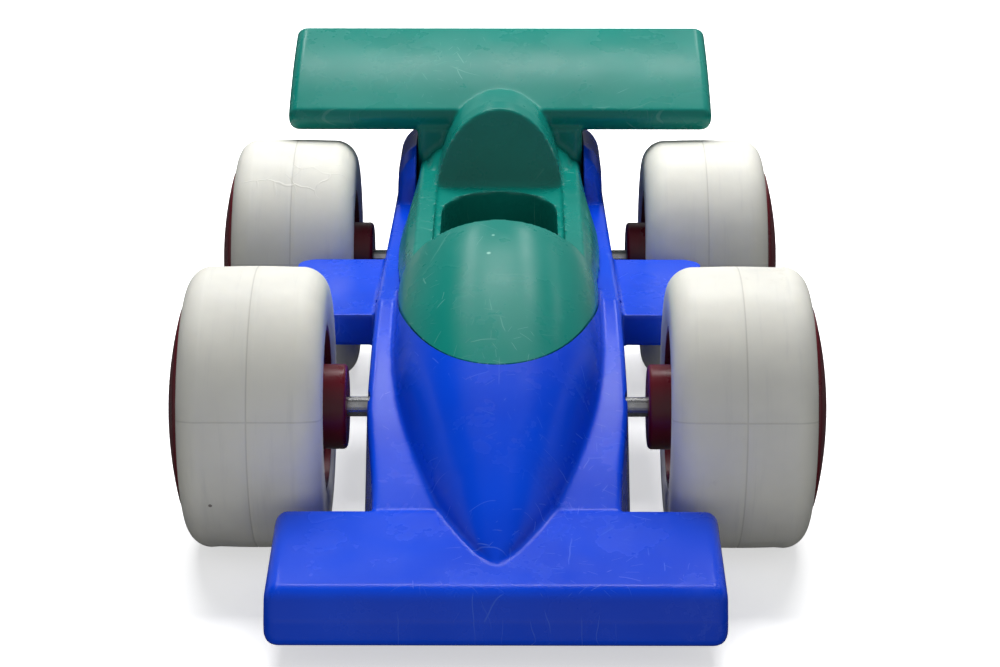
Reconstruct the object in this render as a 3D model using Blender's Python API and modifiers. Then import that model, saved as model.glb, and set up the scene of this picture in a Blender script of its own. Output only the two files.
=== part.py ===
"""Toy formula racing car: a blue lower body, a green upper body and two wheelsets that roll on steel axles.

The frame is +Z up with the nose towards -Y. The origin is on the ground, below the middle of the car.
"""

import math

import bmesh
import bpy
from mathutils import Matrix, Vector

MM = 0.001
GAP = 0.3 * MM
WALL = 2.4 * MM

# Wheels and axles
WHEEL_RADIUS = 35.0 * MM
WHEELBASE = 129.0 * MM
FRONT_AXLE_Y = -49.0 * MM
REAR_AXLE_Y = FRONT_AXLE_Y + WHEELBASE
TYRE_INNER_X = 42.0 * MM
TYRE_OUTER_X = 76.6 * MM
TYRE_BORE = 21.0 * MM
TYRE_WALL = 3.2 * MM
AXLE_RADIUS = 2.5 * MM
AXLE_HALF_LENGTH = 73.0 * MM
AXLE_HOLE_RADIUS = 3.1 * MM
BOSS_RADIUS = 10.6 * MM
BOSS_END_X = 37.3 * MM
CAP_RADIUS = 26.0 * MM
CAP_RIM = 1.1 * MM
CAP_RISE = 3.6 * MM

# Lower body: heights are above the ground, lengths are from the front axle
FLOOR_Z = 8.0 * MM
SHELF_FRONT = (-39.6 * MM, 24.3 * MM)
SHELF_KNEE = (40.0 * MM, 50.2 * MM)
SHELF_BACK = (126.0 * MM, 53.2 * MM)
TUB_HALF_WIDTH = 32.4 * MM
TUB_NOSE_HALF_WIDTH = 29.6 * MM
TUB_TAIL_HALF_WIDTH = 30.4 * MM
TAIL_Y = 166.0 * MM
COWL_FRONT_Y = 123.0 * MM
COWL_TOP_Z = 68.5 * MM
COWL_HALF_WIDTH = 30.0 * MM
POD_FRONT_Y = 38.0 * MM
POD_BACK_Y = 89.0 * MM
POD_HALF_WIDTH = 56.0 * MM
POD_TOP_Z = 46.8 * MM
POD_DEPTH = 8.6 * MM
WING_HALF_WIDTH = 52.2 * MM

# Bullet: the rounded form that the blue nose and the green hood share
BULLET_TIP = (-67.0 * MM, 19.5 * MM)
BULLET_WIDEST_Y = 20.0 * MM
BULLET_HALF_WIDTH = 26.6 * MM
HOOD_LIP_Y = 48.0 * MM
HOOD_LIP_Z = 70.2 * MM
HOOD_TIP_Y = -11.5 * MM
HOOD_SIDE_Y = 47.0 * MM

# Cockpit, headrest and rear wing
RAIL_FRONT_Z = 59.5 * MM
RAIL_BACK_Z = 64.6 * MM
RAIL_HALF_WIDTH = 23.2 * MM
DECK_BACK_Y = 137.0 * MM
DECK_BACK_HALF_WIDTH = 24.2 * MM
COCKPIT_HALF_WIDTH = 17.9 * MM
COCKPIT_FRONT_Y = 24.0 * MM
COCKPIT_BACK_Y = 91.0 * MM
NICHE_HALF_WIDTH = 14.2 * MM
NICHE_BACK_Y = 104.5 * MM
COCKPIT_FLOOR_Z = 36.0 * MM
HEADREST_Y = 108.5 * MM
HEADREST_TOP_Z = 83.6 * MM
SHOULDER_Y = 122.0 * MM
SHOULDER_HALF_WIDTH = 21.0 * MM
SHOULDER_RISE = 8.3 * MM
REAR_WING_HALF_WIDTH = 62.2 * MM
REAR_WING_FRONT = (135.5 * MM, 71.2 * MM)
REAR_WING_CHORD = 46.0 * MM
REAR_WING_DEPTH = 7.4 * MM
REAR_WING_TILT = math.radians(22.8)

# Screws that hold the two bodies together, as (half spacing, distance behind the front axle)
SCREW_PLACES = ((13.0 * MM, 12.0 * MM), (14.0 * MM, 116.0 * MM))
SCREW_RADIUS = 1.5 * MM
SCREW_HEAD_RADIUS = 3.0 * MM
SCREW_HEAD_HEIGHT = 2.0 * MM
SCREW_LENGTH = 8.0 * MM
SCREW_BOSS_RADIUS = 4.2 * MM

ROUND_STEPS = 28
SHARP_ANGLE = math.radians(32)
ARCH_STEPS = 20
FAR_BELOW = -20.0 * MM
FAR_ABOVE = 130.0 * MM

BLUE = ("Blue_Plastic", (0.012, 0.085, 0.62), 0.32, 0.0)
GREEN = ("Green_Plastic", (0.010, 0.20, 0.125), 0.32, 0.0)
WHITE = ("Ivory_Tyre", (0.74, 0.73, 0.66), 0.55, 0.0)
RED = ("Red_Plastic", (0.23, 0.010, 0.018), 0.35, 0.0)
STEEL = ("Bright_Steel", (0.62, 0.62, 0.64), 0.25, 1.0)
ZINC = ("Zinc_Steel", (0.50, 0.50, 0.53), 0.35, 1.0)


def make_material(spec):
    name, colour, roughness, metallic = spec
    material = bpy.data.materials.get(name) or bpy.data.materials.new(name)
    material.use_nodes = True
    shader = material.node_tree.nodes["Principled BSDF"]
    shader.inputs["Base Color"].default_value = (*colour, 1.0)
    shader.inputs["Roughness"].default_value = roughness
    shader.inputs["Metallic"].default_value = metallic
    return material


def clear_scene():
    for old in list(bpy.data.objects):
        bpy.data.objects.remove(old, do_unlink=True)


def make_collection(name):
    collection = bpy.data.collections.new(name)
    bpy.context.scene.collection.children.link(collection)
    return collection


clear_scene()
PARTS = make_collection("Toy_Racing_Car")
CUTTERS = make_collection("Cutters")


def add_object(name, mesh, spec=None):
    """A part when it has a material spec, and otherwise a hidden helper shape."""
    obj = bpy.data.objects.new(name, mesh)
    if spec:
        mesh.materials.append(make_material(spec))
        PARTS.objects.link(obj)
    else:
        CUTTERS.objects.link(obj)
        obj.hide_render = True
        obj.display_type = "WIRE"
    return obj


def smooth_shade(mesh, angle=math.radians(35)):
    mesh.shade_smooth()
    mesh.set_sharp_from_angle(angle=angle)


def mesh_from(bm, name):
    bmesh.ops.recalc_face_normals(bm, faces=bm.faces)
    mesh = bpy.data.meshes.new(name)
    bm.to_mesh(mesh)
    bm.free()
    return mesh


def loft(name, rings):
    """A closed solid through rings that each hold the same number of points."""
    bm = bmesh.new()
    rows = [[bm.verts.new(point) for point in ring] for ring in rings]
    count = len(rows[0])
    for near, far in zip(rows, rows[1:]):
        for i in range(count):
            j = (i + 1) % count
            bm.faces.new((near[i], near[j], far[j], far[i]))
    bm.faces.new(rows[0])
    bm.faces.new(rows[-1])
    return add_object(name, mesh_from(bm, name))


def round_edges(bm, radius, segments):
    """Rounds the edges where two faces turn sharply, and leaves the shallow ones of a curved skin."""
    bmesh.ops.recalc_face_normals(bm, faces=bm.faces)
    sharp = [edge for edge in bm.edges if edge.calc_face_angle(0.0) > SHARP_ANGLE]
    bmesh.ops.bevel(bm, geom=sharp, offset=radius, segments=segments, profile=0.5, affect="EDGES")


def prism(name, outline, low, high, bevel=0.0, segments=3):
    """A plan outline, as (x, y) points, drawn up from low to high."""
    bm = bmesh.new()
    face = bm.faces.new([bm.verts.new((x, y, low)) for x, y in outline])
    drawn = bmesh.ops.extrude_face_region(bm, geom=[face])
    tops = [item for item in drawn["geom"] if isinstance(item, bmesh.types.BMVert)]
    bmesh.ops.translate(bm, verts=tops, vec=(0, 0, high - low))
    if bevel:
        round_edges(bm, bevel, segments)
    return add_object(name, mesh_from(bm, name))


def slab(name, outline, half_width, bevel=0.0, segments=3):
    """A side outline, as (y, z) points, drawn across the car, with every edge rounded."""
    bm = bmesh.new()
    face = bm.faces.new([bm.verts.new((-half_width, y, z)) for y, z in outline])
    drawn = bmesh.ops.extrude_face_region(bm, geom=[face])
    ends = [item for item in drawn["geom"] if isinstance(item, bmesh.types.BMVert)]
    bmesh.ops.translate(bm, verts=ends, vec=(2 * half_width, 0, 0))
    if bevel:
        round_edges(bm, bevel, segments)
    return add_object(name, mesh_from(bm, name))


def cylinder(name, radius, start, end, steps=ROUND_STEPS):
    """A round bar from one point to another."""
    start, end = Vector(start), Vector(end)
    along = end - start
    bm = bmesh.new()
    bmesh.ops.create_cone(
        bm, cap_ends=True, segments=steps, radius1=radius, radius2=radius, depth=along.length
    )
    turn = along.to_track_quat("Z", "Y").to_matrix().to_4x4()
    bmesh.ops.transform(bm, matrix=Matrix.Translation((start + end) / 2) @ turn, verts=bm.verts)
    return add_object(name, mesh_from(bm, name))


def boolean(base, other, operation):
    """Applies one Boolean to the base shape, and leaves the other as it was.

    The manifold solver keeps these thin walls closed where the exact one leaves open edges.
    """
    modifier = base.modifiers.new(operation.title(), "BOOLEAN")
    modifier.operation = operation
    modifier.solver = "MANIFOLD"
    modifier.object = other
    bpy.context.view_layer.update()
    graph = bpy.context.evaluated_depsgraph_get()
    mesh = bpy.data.meshes.new_from_object(base.evaluated_get(graph))
    base.modifiers.clear()
    base.data = mesh
    return base


def union(base, *others):
    for other in others:
        boolean(base, other, "UNION")
    return base


def cut(base, *others):
    for other in others:
        boolean(base, other, "DIFFERENCE")
    return base


def keep_common(base, other):
    return boolean(base, other, "INTERSECT")


def promote(helper, name, spec):
    """Turns a finished helper shape into a named part."""
    mesh = helper.data
    mesh.materials.clear()
    bpy.data.objects.remove(helper, do_unlink=True)
    part = add_object(name, mesh, spec)
    smooth_shade(mesh)
    return part


def at(distance):
    """The Y coordinate of a place given by its distance behind the front axle."""
    return FRONT_AXLE_Y + distance


def mix(a, b, t):
    return a + (b - a) * t


def ease(t):
    t = min(max(t, 0.0), 1.0)
    return t * t * (3 - 2 * t)


def shelf_z(distance):
    """Height of the tub's flat shelf: a slope up from the front wing that levels off behind the knee."""
    (y0, z0), (y1, z1), (y2, z2) = SHELF_FRONT, SHELF_KNEE, SHELF_BACK
    if distance < y1:
        t = (distance - y0) / (y1 - y0)
        return z0 + (z1 - z0) * (1.30 * t - 0.30 * t * t)
    return mix(z1, z2, (distance - y1) / (y2 - y1))


def tub_half_width(distance):
    if distance < 0:
        return mix(TUB_HALF_WIDTH, TUB_NOSE_HALF_WIDTH, ease(distance / SHELF_FRONT[0]))
    return mix(TUB_HALF_WIDTH, TUB_TAIL_HALF_WIDTH, ease(distance / TAIL_Y))


def bullet_half_width(distance):
    reach = BULLET_WIDEST_Y - BULLET_TIP[0]
    t = max(BULLET_WIDEST_Y - distance, 0.0) / reach
    return BULLET_HALF_WIDTH * (1 - t * t)


def bullet_ridge_z(distance):
    t = (distance - BULLET_TIP[0]) / (HOOD_LIP_Y - BULLET_TIP[0])
    return BULLET_TIP[1] + (HOOD_LIP_Z - BULLET_TIP[1]) * (1 - (1 - min(t, 1.0)) ** 1.4)


def arch_ring(distance, half_width, base_z, top_z, low_z):
    """An elliptical arch that stands on two straight legs, square to the car's length."""
    ring = [(half_width, low_z)]
    for i in range(ARCH_STEPS + 1):
        angle = math.pi * i / ARCH_STEPS
        ring.append((half_width * math.cos(angle), base_z + (top_z - base_z) * math.sin(angle)))
    ring.append((-half_width, low_z))
    return [(x, at(distance), z) for x, z in ring]


def bullet(name, inset, start, end, low_z):
    """The nose and hood form, inset all round by a wall's thickness."""
    count = 14
    rings = []
    for i in range(count + 1):
        distance = mix(start, end, (i / count) ** 1.3)
        base = min(shelf_z(max(distance, SHELF_FRONT[0])), bullet_ridge_z(distance)) - 2.0 * MM
        wide = max(bullet_half_width(distance) - inset, 0.35 * MM)
        top = max(bullet_ridge_z(distance) - inset, base + 0.2 * MM)
        rings.append(arch_ring(distance, wide, base, top, low_z))
    return loft(name, rings)


def rounded_ring(distance, half_width, low_half_width, low_z, top_z, radius):
    """A flat-topped section with rounded upper edges."""
    ring = [(low_half_width, low_z)]
    steps = 5
    for side in (1, -1):
        for i in range(steps + 1):
            step = i if side > 0 else steps - i
            angle = math.pi / 2 * step / steps
            x = half_width - radius + radius * math.cos(angle)
            ring.append((side * x, top_z - radius + radius * math.sin(angle)))
    ring.append((-low_half_width, low_z))
    return [(x, at(distance), z) for x, z in ring]


def tub(name, inset, start, end, low_z, radius):
    stations = [start] + [d * MM for d in range(-30, 160, 12) if start < d * MM < end] + [end]
    rings = []
    for distance in stations:
        wide = tub_half_width(distance) - inset
        draft = 1.0 * MM
        rings.append(rounded_ring(distance, wide, wide + draft, low_z, shelf_z(distance) - inset, radius))
    return loft(name, rings)


def cowl(name, inset, start, low_z):
    """The rounded engine cover at the tail, with a steep front that leans back."""
    steps = ((0.0, 0.0), (3.0, 0.55), (7.0, 0.85), (13.0, 1.0), (36.0, 1.0), (40.5, 0.93), (43.0, 0.80))
    rings = []
    for back, rise in steps:
        distance = start + back * MM
        base = shelf_z(COWL_FRONT_Y) - 3 * MM
        top = mix(base + 3 * MM, COWL_TOP_Z, rise) - inset
        wide = COWL_HALF_WIDTH - inset
        radius = min(9.0 * MM - inset, top - base)
        rings.append(rounded_ring(distance, wide, wide + 0.4 * MM, low_z, top, radius))
    return loft(name, rings)


def plan_tongue(inset):
    """The hood's outline from above: a rounded tip, then straight sides to the back."""
    half_width = BULLET_HALF_WIDTH + 6 * MM
    length = HOOD_SIDE_Y - HOOD_TIP_Y
    reach = BULLET_HALF_WIDTH
    points = [(half_width, at(200 * MM)), (half_width, at(HOOD_SIDE_Y))]
    steps = 22
    for i in range(steps + 1):
        angle = math.pi * i / steps
        across = (reach - inset) * math.cos(angle)
        points.append((across, at(HOOD_SIDE_Y - (length - inset) * math.sin(angle) ** 0.9)))
    points += [(-half_width, at(HOOD_SIDE_Y)), (-half_width, at(200 * MM))]
    return points


def rounded_outline(half_width, front, back, radius, steps=5):
    """A plan rectangle with all four corners rounded."""
    centres = (
        (half_width - radius, back - radius, 0),
        (-half_width + radius, back - radius, 1),
        (-half_width + radius, front + radius, 2),
        (half_width - radius, front + radius, 3),
    )
    points = []
    for x, y, quarter in centres:
        for i in range(steps + 1):
            angle = math.pi / 2 * (quarter + i / steps)
            points.append((x + radius * math.cos(angle), y + radius * math.sin(angle)))
    return points


def front_wing(inset, low_z):
    """The broad front wing's side outline, whose top slopes to a blunt leading edge, and its half width."""
    back_y, back_z = SHELF_FRONT
    outline = [
        (at(back_y - inset), back_z - inset),
        (at(-76 * MM + inset), 18.9 * MM - inset),
        (at(-79 * MM + inset), 12.5 * MM - inset),
        (at(-79.8 * MM + inset), low_z),
        (at(back_y - inset), low_z),
    ]
    return outline, WING_HALF_WIDTH - inset


def make_lower_body():
    body = tub("tub_form", 0, SHELF_FRONT[0] - 6 * MM, TAIL_Y, FLOOR_Z, 1.6 * MM)
    nose = bullet("nose_form", 0, BULLET_TIP[0], HOOD_LIP_Y, FLOOR_Z + 6 * MM)
    cut(nose, prism("hood_seat", plan_tongue(0), FAR_BELOW, FAR_ABOVE))
    outline, wide = front_wing(0, 6.0 * MM)
    wing = slab("front_wing_form", outline, wide, 3.0 * MM)
    pods = prism(
        "pod_form",
        rounded_outline(POD_HALF_WIDTH, at(POD_FRONT_Y), at(POD_BACK_Y), 5 * MM),
        POD_TOP_Z - POD_DEPTH,
        POD_TOP_Z,
    )
    cover = cowl("cowl_form", 0, COWL_FRONT_Y, FLOOR_Z)
    union(body, nose, wing, pods, cover)
    slot = prism(
        "upper_body_slot",
        rounded_outline(DECK_BACK_HALF_WIDTH + GAP, at(105 * MM), at(TAIL_Y - 3 * MM), 3 * MM),
        shelf_z(COWL_FRONT_Y) - 0.5 * MM,
        FAR_ABOVE,
    )
    return cut(body, slot, *lower_body_hollows(), *axle_holes(), *screw_holes())


def lower_body_hollows():
    """The spaces under the thin moulded walls, all open downwards."""
    inner_tub = tub("tub_hollow", WALL, SHELF_FRONT[0] + WALL, TAIL_Y - WALL, FAR_BELOW, 1.0 * MM)
    inner_nose = bullet("nose_hollow", WALL, -58 * MM, HOOD_TIP_Y - 2 * MM, FAR_BELOW)
    outline, wide = front_wing(WALL, FAR_BELOW)
    inner_wing = slab("wing_hollow", outline, wide)
    inner_pods = [
        prism(
            "pod_hollow",
            [
                (side * x, at(y))
                for x, y in (
                    (TUB_HALF_WIDTH + WALL, POD_FRONT_Y + WALL),
                    (POD_HALF_WIDTH - WALL, POD_FRONT_Y + WALL),
                    (POD_HALF_WIDTH - WALL, POD_BACK_Y - WALL - 3 * MM),
                    (POD_HALF_WIDTH - WALL - 3 * MM, POD_BACK_Y - WALL),
                    (TUB_HALF_WIDTH + WALL, POD_BACK_Y - WALL),
                )
            ],
            FAR_BELOW,
            POD_TOP_Z - WALL,
        )
        for side in (1, -1)
    ]
    bucket_room = prism(
        "bucket_room",
        rounded_outline(
            COCKPIT_HALF_WIDTH + WALL + 2 * GAP,
            at(COCKPIT_FRONT_Y - WALL - 2 * GAP),
            at(NICHE_BACK_Y + WALL + 2 * GAP),
            2 * MM,
        ),
        FAR_BELOW,
        FAR_ABOVE,
    )
    return [inner_tub, inner_nose, inner_wing, *inner_pods, bucket_room]


def axle_holes():
    holes = []
    for y in (FRONT_AXLE_Y, REAR_AXLE_Y):
        reach = 40 * MM
        holes.append(cylinder("axle_hole", AXLE_HOLE_RADIUS, (-reach, y, WHEEL_RADIUS), (reach, y, WHEEL_RADIUS)))
    return holes


def screw_spots():
    """Each screw's name and place, from front left to rear right."""
    spots = []
    for row, (across, distance) in zip(("front", "rear"), SCREW_PLACES):
        for word, side in (("left", -1), ("right", 1)):
            spots.append((f"{row}_{word}_screw", side * across, distance))
    return spots


def screw_holes():
    radius = SCREW_RADIUS + 2 * GAP
    return [
        cylinder("screw_hole", radius, (x, at(d), 30 * MM), (x, at(d), shelf_z(d) + 2 * MM), 16)
        for _, x, d in screw_spots()
    ]


def deck_ring(distance, inset, low_z):
    """The green deck beside the cockpit: flat rails on top and sides that lean in."""
    t = (distance - HOOD_LIP_Y) / (DECK_BACK_Y - HOOD_LIP_Y)
    top = mix(RAIL_FRONT_Z, RAIL_BACK_Z, t) - inset
    low = mix(BULLET_HALF_WIDTH, DECK_BACK_HALF_WIDTH, max(t, 0.0)) - inset
    high = RAIL_HALF_WIDTH - inset
    base = shelf_z(distance) - 1 * MM
    ring = [(low, low_z), (low, base), (high, top - 0.8 * MM), (high - 0.8 * MM, top)]
    ring += [(-x, z) for x, z in reversed(ring)]
    return [(x, at(distance), z) for x, z in ring]


def deck(name, inset, start, end, low_z):
    count = 6
    return loft(name, [deck_ring(mix(start, end, i / count), inset, low_z) for i in range(count + 1)])


def headrest(name, inset):
    """A streamlined hump whose flat front leans back and whose top runs on over the rear wing."""
    base = mix(RAIL_FRONT_Z, RAIL_BACK_Z, 0.65) - 3 * MM
    rings = []
    for back, shrink, rise in ((0, 1.0, 0), (12, 1.0, 1.2), (26, 0.98, 2.0), (37, 0.88, 1.8), (47, 0.70, 0.4)):
        wide = COCKPIT_HALF_WIDTH * shrink - inset
        top = HEADREST_TOP_Z + rise * MM - inset
        ring = arch_ring(HEADREST_Y + back * MM, wide, base, top, base - 5 * MM)
        lean = 0.28 if back == 0 else 0.0
        rings.append([(x, y + max(z - base, 0) * lean, z) for x, y, z in ring])
    return loft(name, rings)


def shoulder():
    """The low arch behind the headrest, where the rails run up into the support."""
    rings = []
    for distance, rise in ((SHOULDER_Y, 0.3), (SHOULDER_Y + 6 * MM, 0.85), (DECK_BACK_Y - 1 * MM, 1.0)):
        t = (distance - HOOD_LIP_Y) / (DECK_BACK_Y - HOOD_LIP_Y)
        base = mix(RAIL_FRONT_Z, RAIL_BACK_Z, t) - 0.6 * MM
        ring = arch_ring(distance, SHOULDER_HALF_WIDTH, base, base + SHOULDER_RISE * rise, base - 1 * MM)
        rings.append(ring)
    return loft("shoulder_form", rings)


def wing_outline(inset):
    """The rear wing's side outline, with an arched top."""
    front_y, front_z = REAR_WING_FRONT
    top = []
    steps = 8
    for i in range(steps + 1):
        t = i / steps
        camber = 1.8 * MM * math.sin(math.pi * t)
        top.append((REAR_WING_CHORD * t, mix(REAR_WING_DEPTH, 7.0 * MM, t) + camber))
    loop = [(0.0, 0.0), *top, (REAR_WING_CHORD, 0.0)]
    middle = REAR_WING_CHORD / 2
    points = []
    for along, up in loop:
        along += inset if along < middle else -inset
        up = up - inset if up > 0 else -8 * MM if inset else up
        y = front_y + along * math.cos(REAR_WING_TILT) - up * math.sin(REAR_WING_TILT)
        z = front_z + along * math.sin(REAR_WING_TILT) + up * math.cos(REAR_WING_TILT)
        points.append((at(y), z))
    return points


def make_upper_body():
    hood = bullet("hood_form", 0, HOOD_TIP_Y - 6 * MM, HOOD_LIP_Y, 30 * MM)
    keep_common(hood, prism("hood_outline", plan_tongue(GAP), FAR_BELOW, FAR_ABOVE))
    middle = deck("deck_form", 0, HOOD_LIP_Y - 8 * MM, DECK_BACK_Y, 30 * MM)
    rest = headrest("headrest_form", 0)
    support = prism(
        "support_form",
        rounded_outline(DECK_BACK_HALF_WIDTH, at(DECK_BACK_Y - 4 * MM), at(TAIL_Y - 3.4 * MM), 2 * MM),
        30 * MM,
        REAR_WING_FRONT[1] + 6 * MM,
    )
    under_wing = slab("under_wing", under_wing_outline(), 70 * MM)
    cut(support, under_wing)
    outer = union(hood, middle, rest, shoulder(), support)

    hollow_hood = bullet("hood_hollow", WALL, HOOD_TIP_Y - 3 * MM, HOOD_LIP_Y + 1 * MM, FAR_BELOW)
    keep_common(hollow_hood, prism("hood_inside", plan_tongue(WALL), FAR_BELOW, FAR_ABOVE))
    hollow_deck = deck("deck_hollow", WALL, HOOD_LIP_Y - 6 * MM, DECK_BACK_Y - 4 * MM, FAR_BELOW)
    hollow_rest = headrest("headrest_hollow", WALL)
    hollow_rest.data.transform(Matrix.Translation((0, WALL, 0)))
    hollow_support = prism(
        "support_hollow",
        rounded_outline(
            DECK_BACK_HALF_WIDTH - WALL, at(DECK_BACK_Y - 4 * MM + WALL), at(TAIL_Y - 3.4 * MM - WALL), 1 * MM
        ),
        FAR_BELOW,
        REAR_WING_FRONT[1] - 2 * MM,
    )
    bucket = make_bucket(outer)
    bosses = [screw_boss(x, d) for _, x, d in screw_spots()]
    body = cut(outer, hollow_hood, hollow_deck, hollow_rest, hollow_support)
    union(body, bucket, *bosses)
    cut(body, *cockpit_opening(), *deck_clearance(), *pilot_holes())
    wing = slab("rear_wing_form", wing_outline(0), REAR_WING_HALF_WIDTH, 3.1 * MM)
    cut(wing, *wing_hollows())
    return union(body, wing)


def under_wing_outline():
    """Everything above the wing's lower skin, so that the support stops inside the wing."""
    front_y, front_z = REAR_WING_FRONT
    slope = math.tan(REAR_WING_TILT)
    rise = 3.0 * MM
    start, end = front_y - 6 * MM, front_y + 60 * MM
    return [
        (at(start), front_z + rise - 6 * MM * slope),
        (at(end), front_z + rise + 60 * MM * slope),
        (at(end), FAR_ABOVE),
        (at(start), FAR_ABOVE),
    ]


def wing_hollows():
    """The wing is open underneath on both sides of its support."""
    hollows = []
    near = DECK_BACK_HALF_WIDTH + 1.5 * MM
    far = REAR_WING_HALF_WIDTH - WALL - 0.2 * MM
    middle = (near + far) / 2
    half = (far - near) / 2
    for side in (1, -1):
        hollow = slab("wing_hollow", wing_outline(WALL), half)
        hollow.data.transform(Matrix.Translation((side * middle, 0, 0)))
        hollows.append(hollow)
    return hollows


def make_bucket(outer):
    """The cockpit's walls and floor, kept inside the outer form."""
    high = mix(RAIL_FRONT_Z, RAIL_BACK_Z, 0.5) + 20 * MM
    bucket = prism(
        "bucket_form",
        rounded_outline(COCKPIT_HALF_WIDTH + WALL, at(COCKPIT_FRONT_Y - WALL), at(NICHE_BACK_Y + WALL), 1.6 * MM),
        COCKPIT_FLOOR_Z - WALL,
        high,
    )
    keep_common(bucket, outer)
    inner = prism(
        "bucket_inside",
        rounded_outline(COCKPIT_HALF_WIDTH, at(COCKPIT_FRONT_Y), at(COCKPIT_BACK_Y), 2 * MM),
        COCKPIT_FLOOR_Z,
        FAR_ABOVE,
    )
    return cut(bucket, inner)


def cockpit_opening():
    """The opening behind the hood, and the round niche for a figure's back."""
    opening = prism(
        "cockpit_cut",
        rounded_outline(COCKPIT_HALF_WIDTH, at(HOOD_LIP_Y - 0.5 * MM), at(COCKPIT_BACK_Y), 2 * MM),
        COCKPIT_FLOOR_Z,
        FAR_ABOVE,
    )
    niche = prism(
        "niche_cut",
        rounded_outline(NICHE_HALF_WIDTH, at(HOOD_LIP_Y + 10 * MM), at(NICHE_BACK_Y), 12 * MM, 7),
        COCKPIT_FLOOR_Z,
        FAR_ABOVE,
    )
    return [opening, niche]


def deck_clearance():
    """Keeps the upper body just clear of the shelf that it rests on, outside the bucket."""
    seat = tub("shelf_clearance", -GAP, HOOD_TIP_Y - 12 * MM, TAIL_Y + 4 * MM, FAR_BELOW, 0.5 * MM)
    room = prism(
        "bucket_keep",
        rounded_outline(
            COCKPIT_HALF_WIDTH + WALL, at(COCKPIT_FRONT_Y - WALL), at(NICHE_BACK_Y + WALL), 1.6 * MM
        ),
        FAR_BELOW - 5 * MM,
        FAR_ABOVE,
    )
    return [cut(seat, room)]


def arch_z(x, half_width, base_z, top_z):
    """Height of an elliptical arch at a place across it."""
    return base_z + (top_z - base_z) * math.sqrt(1 - (x / half_width) ** 2)


def screw_boss(x, distance):
    """A boss from below the shelf up into the thickness of the wall above it."""
    if distance < HOOD_LIP_Y:
        nearest = distance - SCREW_BOSS_RADIUS
        half_width = bullet_half_width(nearest)
        top = arch_z(abs(x) + SCREW_BOSS_RADIUS, half_width, shelf_z(nearest), bullet_ridge_z(nearest))
    else:
        top = RAIL_BACK_Z
    top -= WALL / 3
    return cylinder("screw_boss", SCREW_BOSS_RADIUS, (x, at(distance), 38 * MM), (x, at(distance), top), 20)


def pilot_holes():
    return [
        cylinder(
            "pilot_hole",
            SCREW_RADIUS + GAP,
            (x, at(d), 30 * MM),
            (x, at(d), shelf_z(d) + SCREW_LENGTH - WALL + 1 * MM),
            16,
        )
        for _, x, d in screw_spots()
    ]


def make_screw(name, x, distance):
    """A pan-head screw that comes up from below, through the shelf and into the upper body."""
    top = shelf_z(distance) - WALL
    slope = 2.2 * MM
    seat = top - slope
    head = cylinder("head", SCREW_HEAD_RADIUS, (x, at(distance), seat - SCREW_HEAD_HEIGHT), (x, at(distance), seat), 24)
    shank = cylinder(
        "shank", SCREW_RADIUS, (x, at(distance), seat - 1 * MM), (x, at(distance), seat + SCREW_LENGTH), 16
    )
    union(head, shank)
    reach = 1.8 * MM
    half = 0.35 * MM
    for outline in (
        [(-reach, -half), (reach, -half), (reach, half), (-reach, half)],
        [(-half, -reach), (half, -reach), (half, reach), (-half, reach)],
    ):
        slot = prism(
            "recess",
            [(x + px, at(distance) + py) for px, py in outline],
            seat - SCREW_HEAD_HEIGHT - 1 * MM,
            seat - SCREW_HEAD_HEIGHT + 1 * MM,
        )
        cut(head, slot)
    return promote(head, name, ZINC)


def arc(cx, cz, radius, start, end, steps):
    """Points on a round stretch of a turned profile, by angles in degrees."""
    points = []
    for i in range(steps + 1):
        angle = math.radians(mix(start, end, i / steps))
        points.append((cx + radius * math.cos(angle), cz + radius * math.sin(angle)))
    return points


def turned(name, profile, spec, steps=ROUND_STEPS):
    """A ring turned from a closed profile of (radius, height) points, listed clockwise."""
    mesh = bpy.data.meshes.new(name)
    count = len(profile)
    edges = [(i, (i + 1) % count) for i in range(count)]
    mesh.from_pydata([(r, 0, h) for r, h in profile], edges, [])
    part = add_object(name, mesh, spec)
    screw = part.modifiers.new("Turn", "SCREW")
    screw.axis = "Z"
    screw.angle = 2 * math.pi
    screw.steps = steps
    screw.render_steps = steps
    screw.use_merge_vertices = True
    screw.merge_threshold = 0.00001
    screw.use_smooth_shade = True
    return part


def tyre_profile():
    """A broad, slightly crowned tread with a softer outer shoulder, hollow and open towards the hub."""
    inner, outer = TYRE_INNER_X, TYRE_OUTER_X
    r = WHEEL_RADIUS
    points = [(TYRE_BORE, outer)]
    points += arc(r - 6 * MM, outer - 6 * MM, 5.6 * MM, 88, 12, 4)
    points += [(r, (inner + outer) / 2)]
    points += arc(r - 6.6 * MM, inner + 6.6 * MM, 6.2 * MM, -12, -88, 3)
    points += [(TYRE_BORE, inner), (TYRE_BORE, inner + TYRE_WALL)]
    under_tread = r - TYRE_WALL
    for height in (inner + TYRE_WALL, outer - TYRE_WALL):
        step = 2.5 * MM if height < outer / 2 + inner / 2 else -2.5 * MM
        pair = [(under_tread - 2.5 * MM, height), (under_tread, height + step)]
        points += pair if step > 0 else reversed(pair)
    points += [(TYRE_BORE, outer - TYRE_WALL)]
    return points


def hub_profile():
    """The red wheel centre: a barrel in the tyre, a web, and a boss that stands inwards."""
    inner, outer = TYRE_INNER_X, TYRE_OUTER_X
    barrel = TYRE_BORE - GAP
    bore = AXLE_RADIUS + GAP
    web = inner + 2.0 * MM
    return [
        (bore + 4 * MM, outer - 4 * MM),
        (bore + 4 * MM, web + WALL),
        (barrel - WALL, web + WALL),
        (barrel - WALL, outer - 5 * MM),
        (barrel, outer - 5 * MM),
        (barrel, inner + 0.6 * MM),
        (barrel - 1.6 * MM, inner + 0.6 * MM),
        (barrel - 1.9 * MM, web),
        (BOSS_RADIUS, web),
        (BOSS_RADIUS, BOSS_END_X + 1.0 * MM),
        (BOSS_RADIUS - 1.0 * MM, BOSS_END_X),
        (bore, BOSS_END_X),
        (bore, outer - 4 * MM),
    ]


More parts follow.
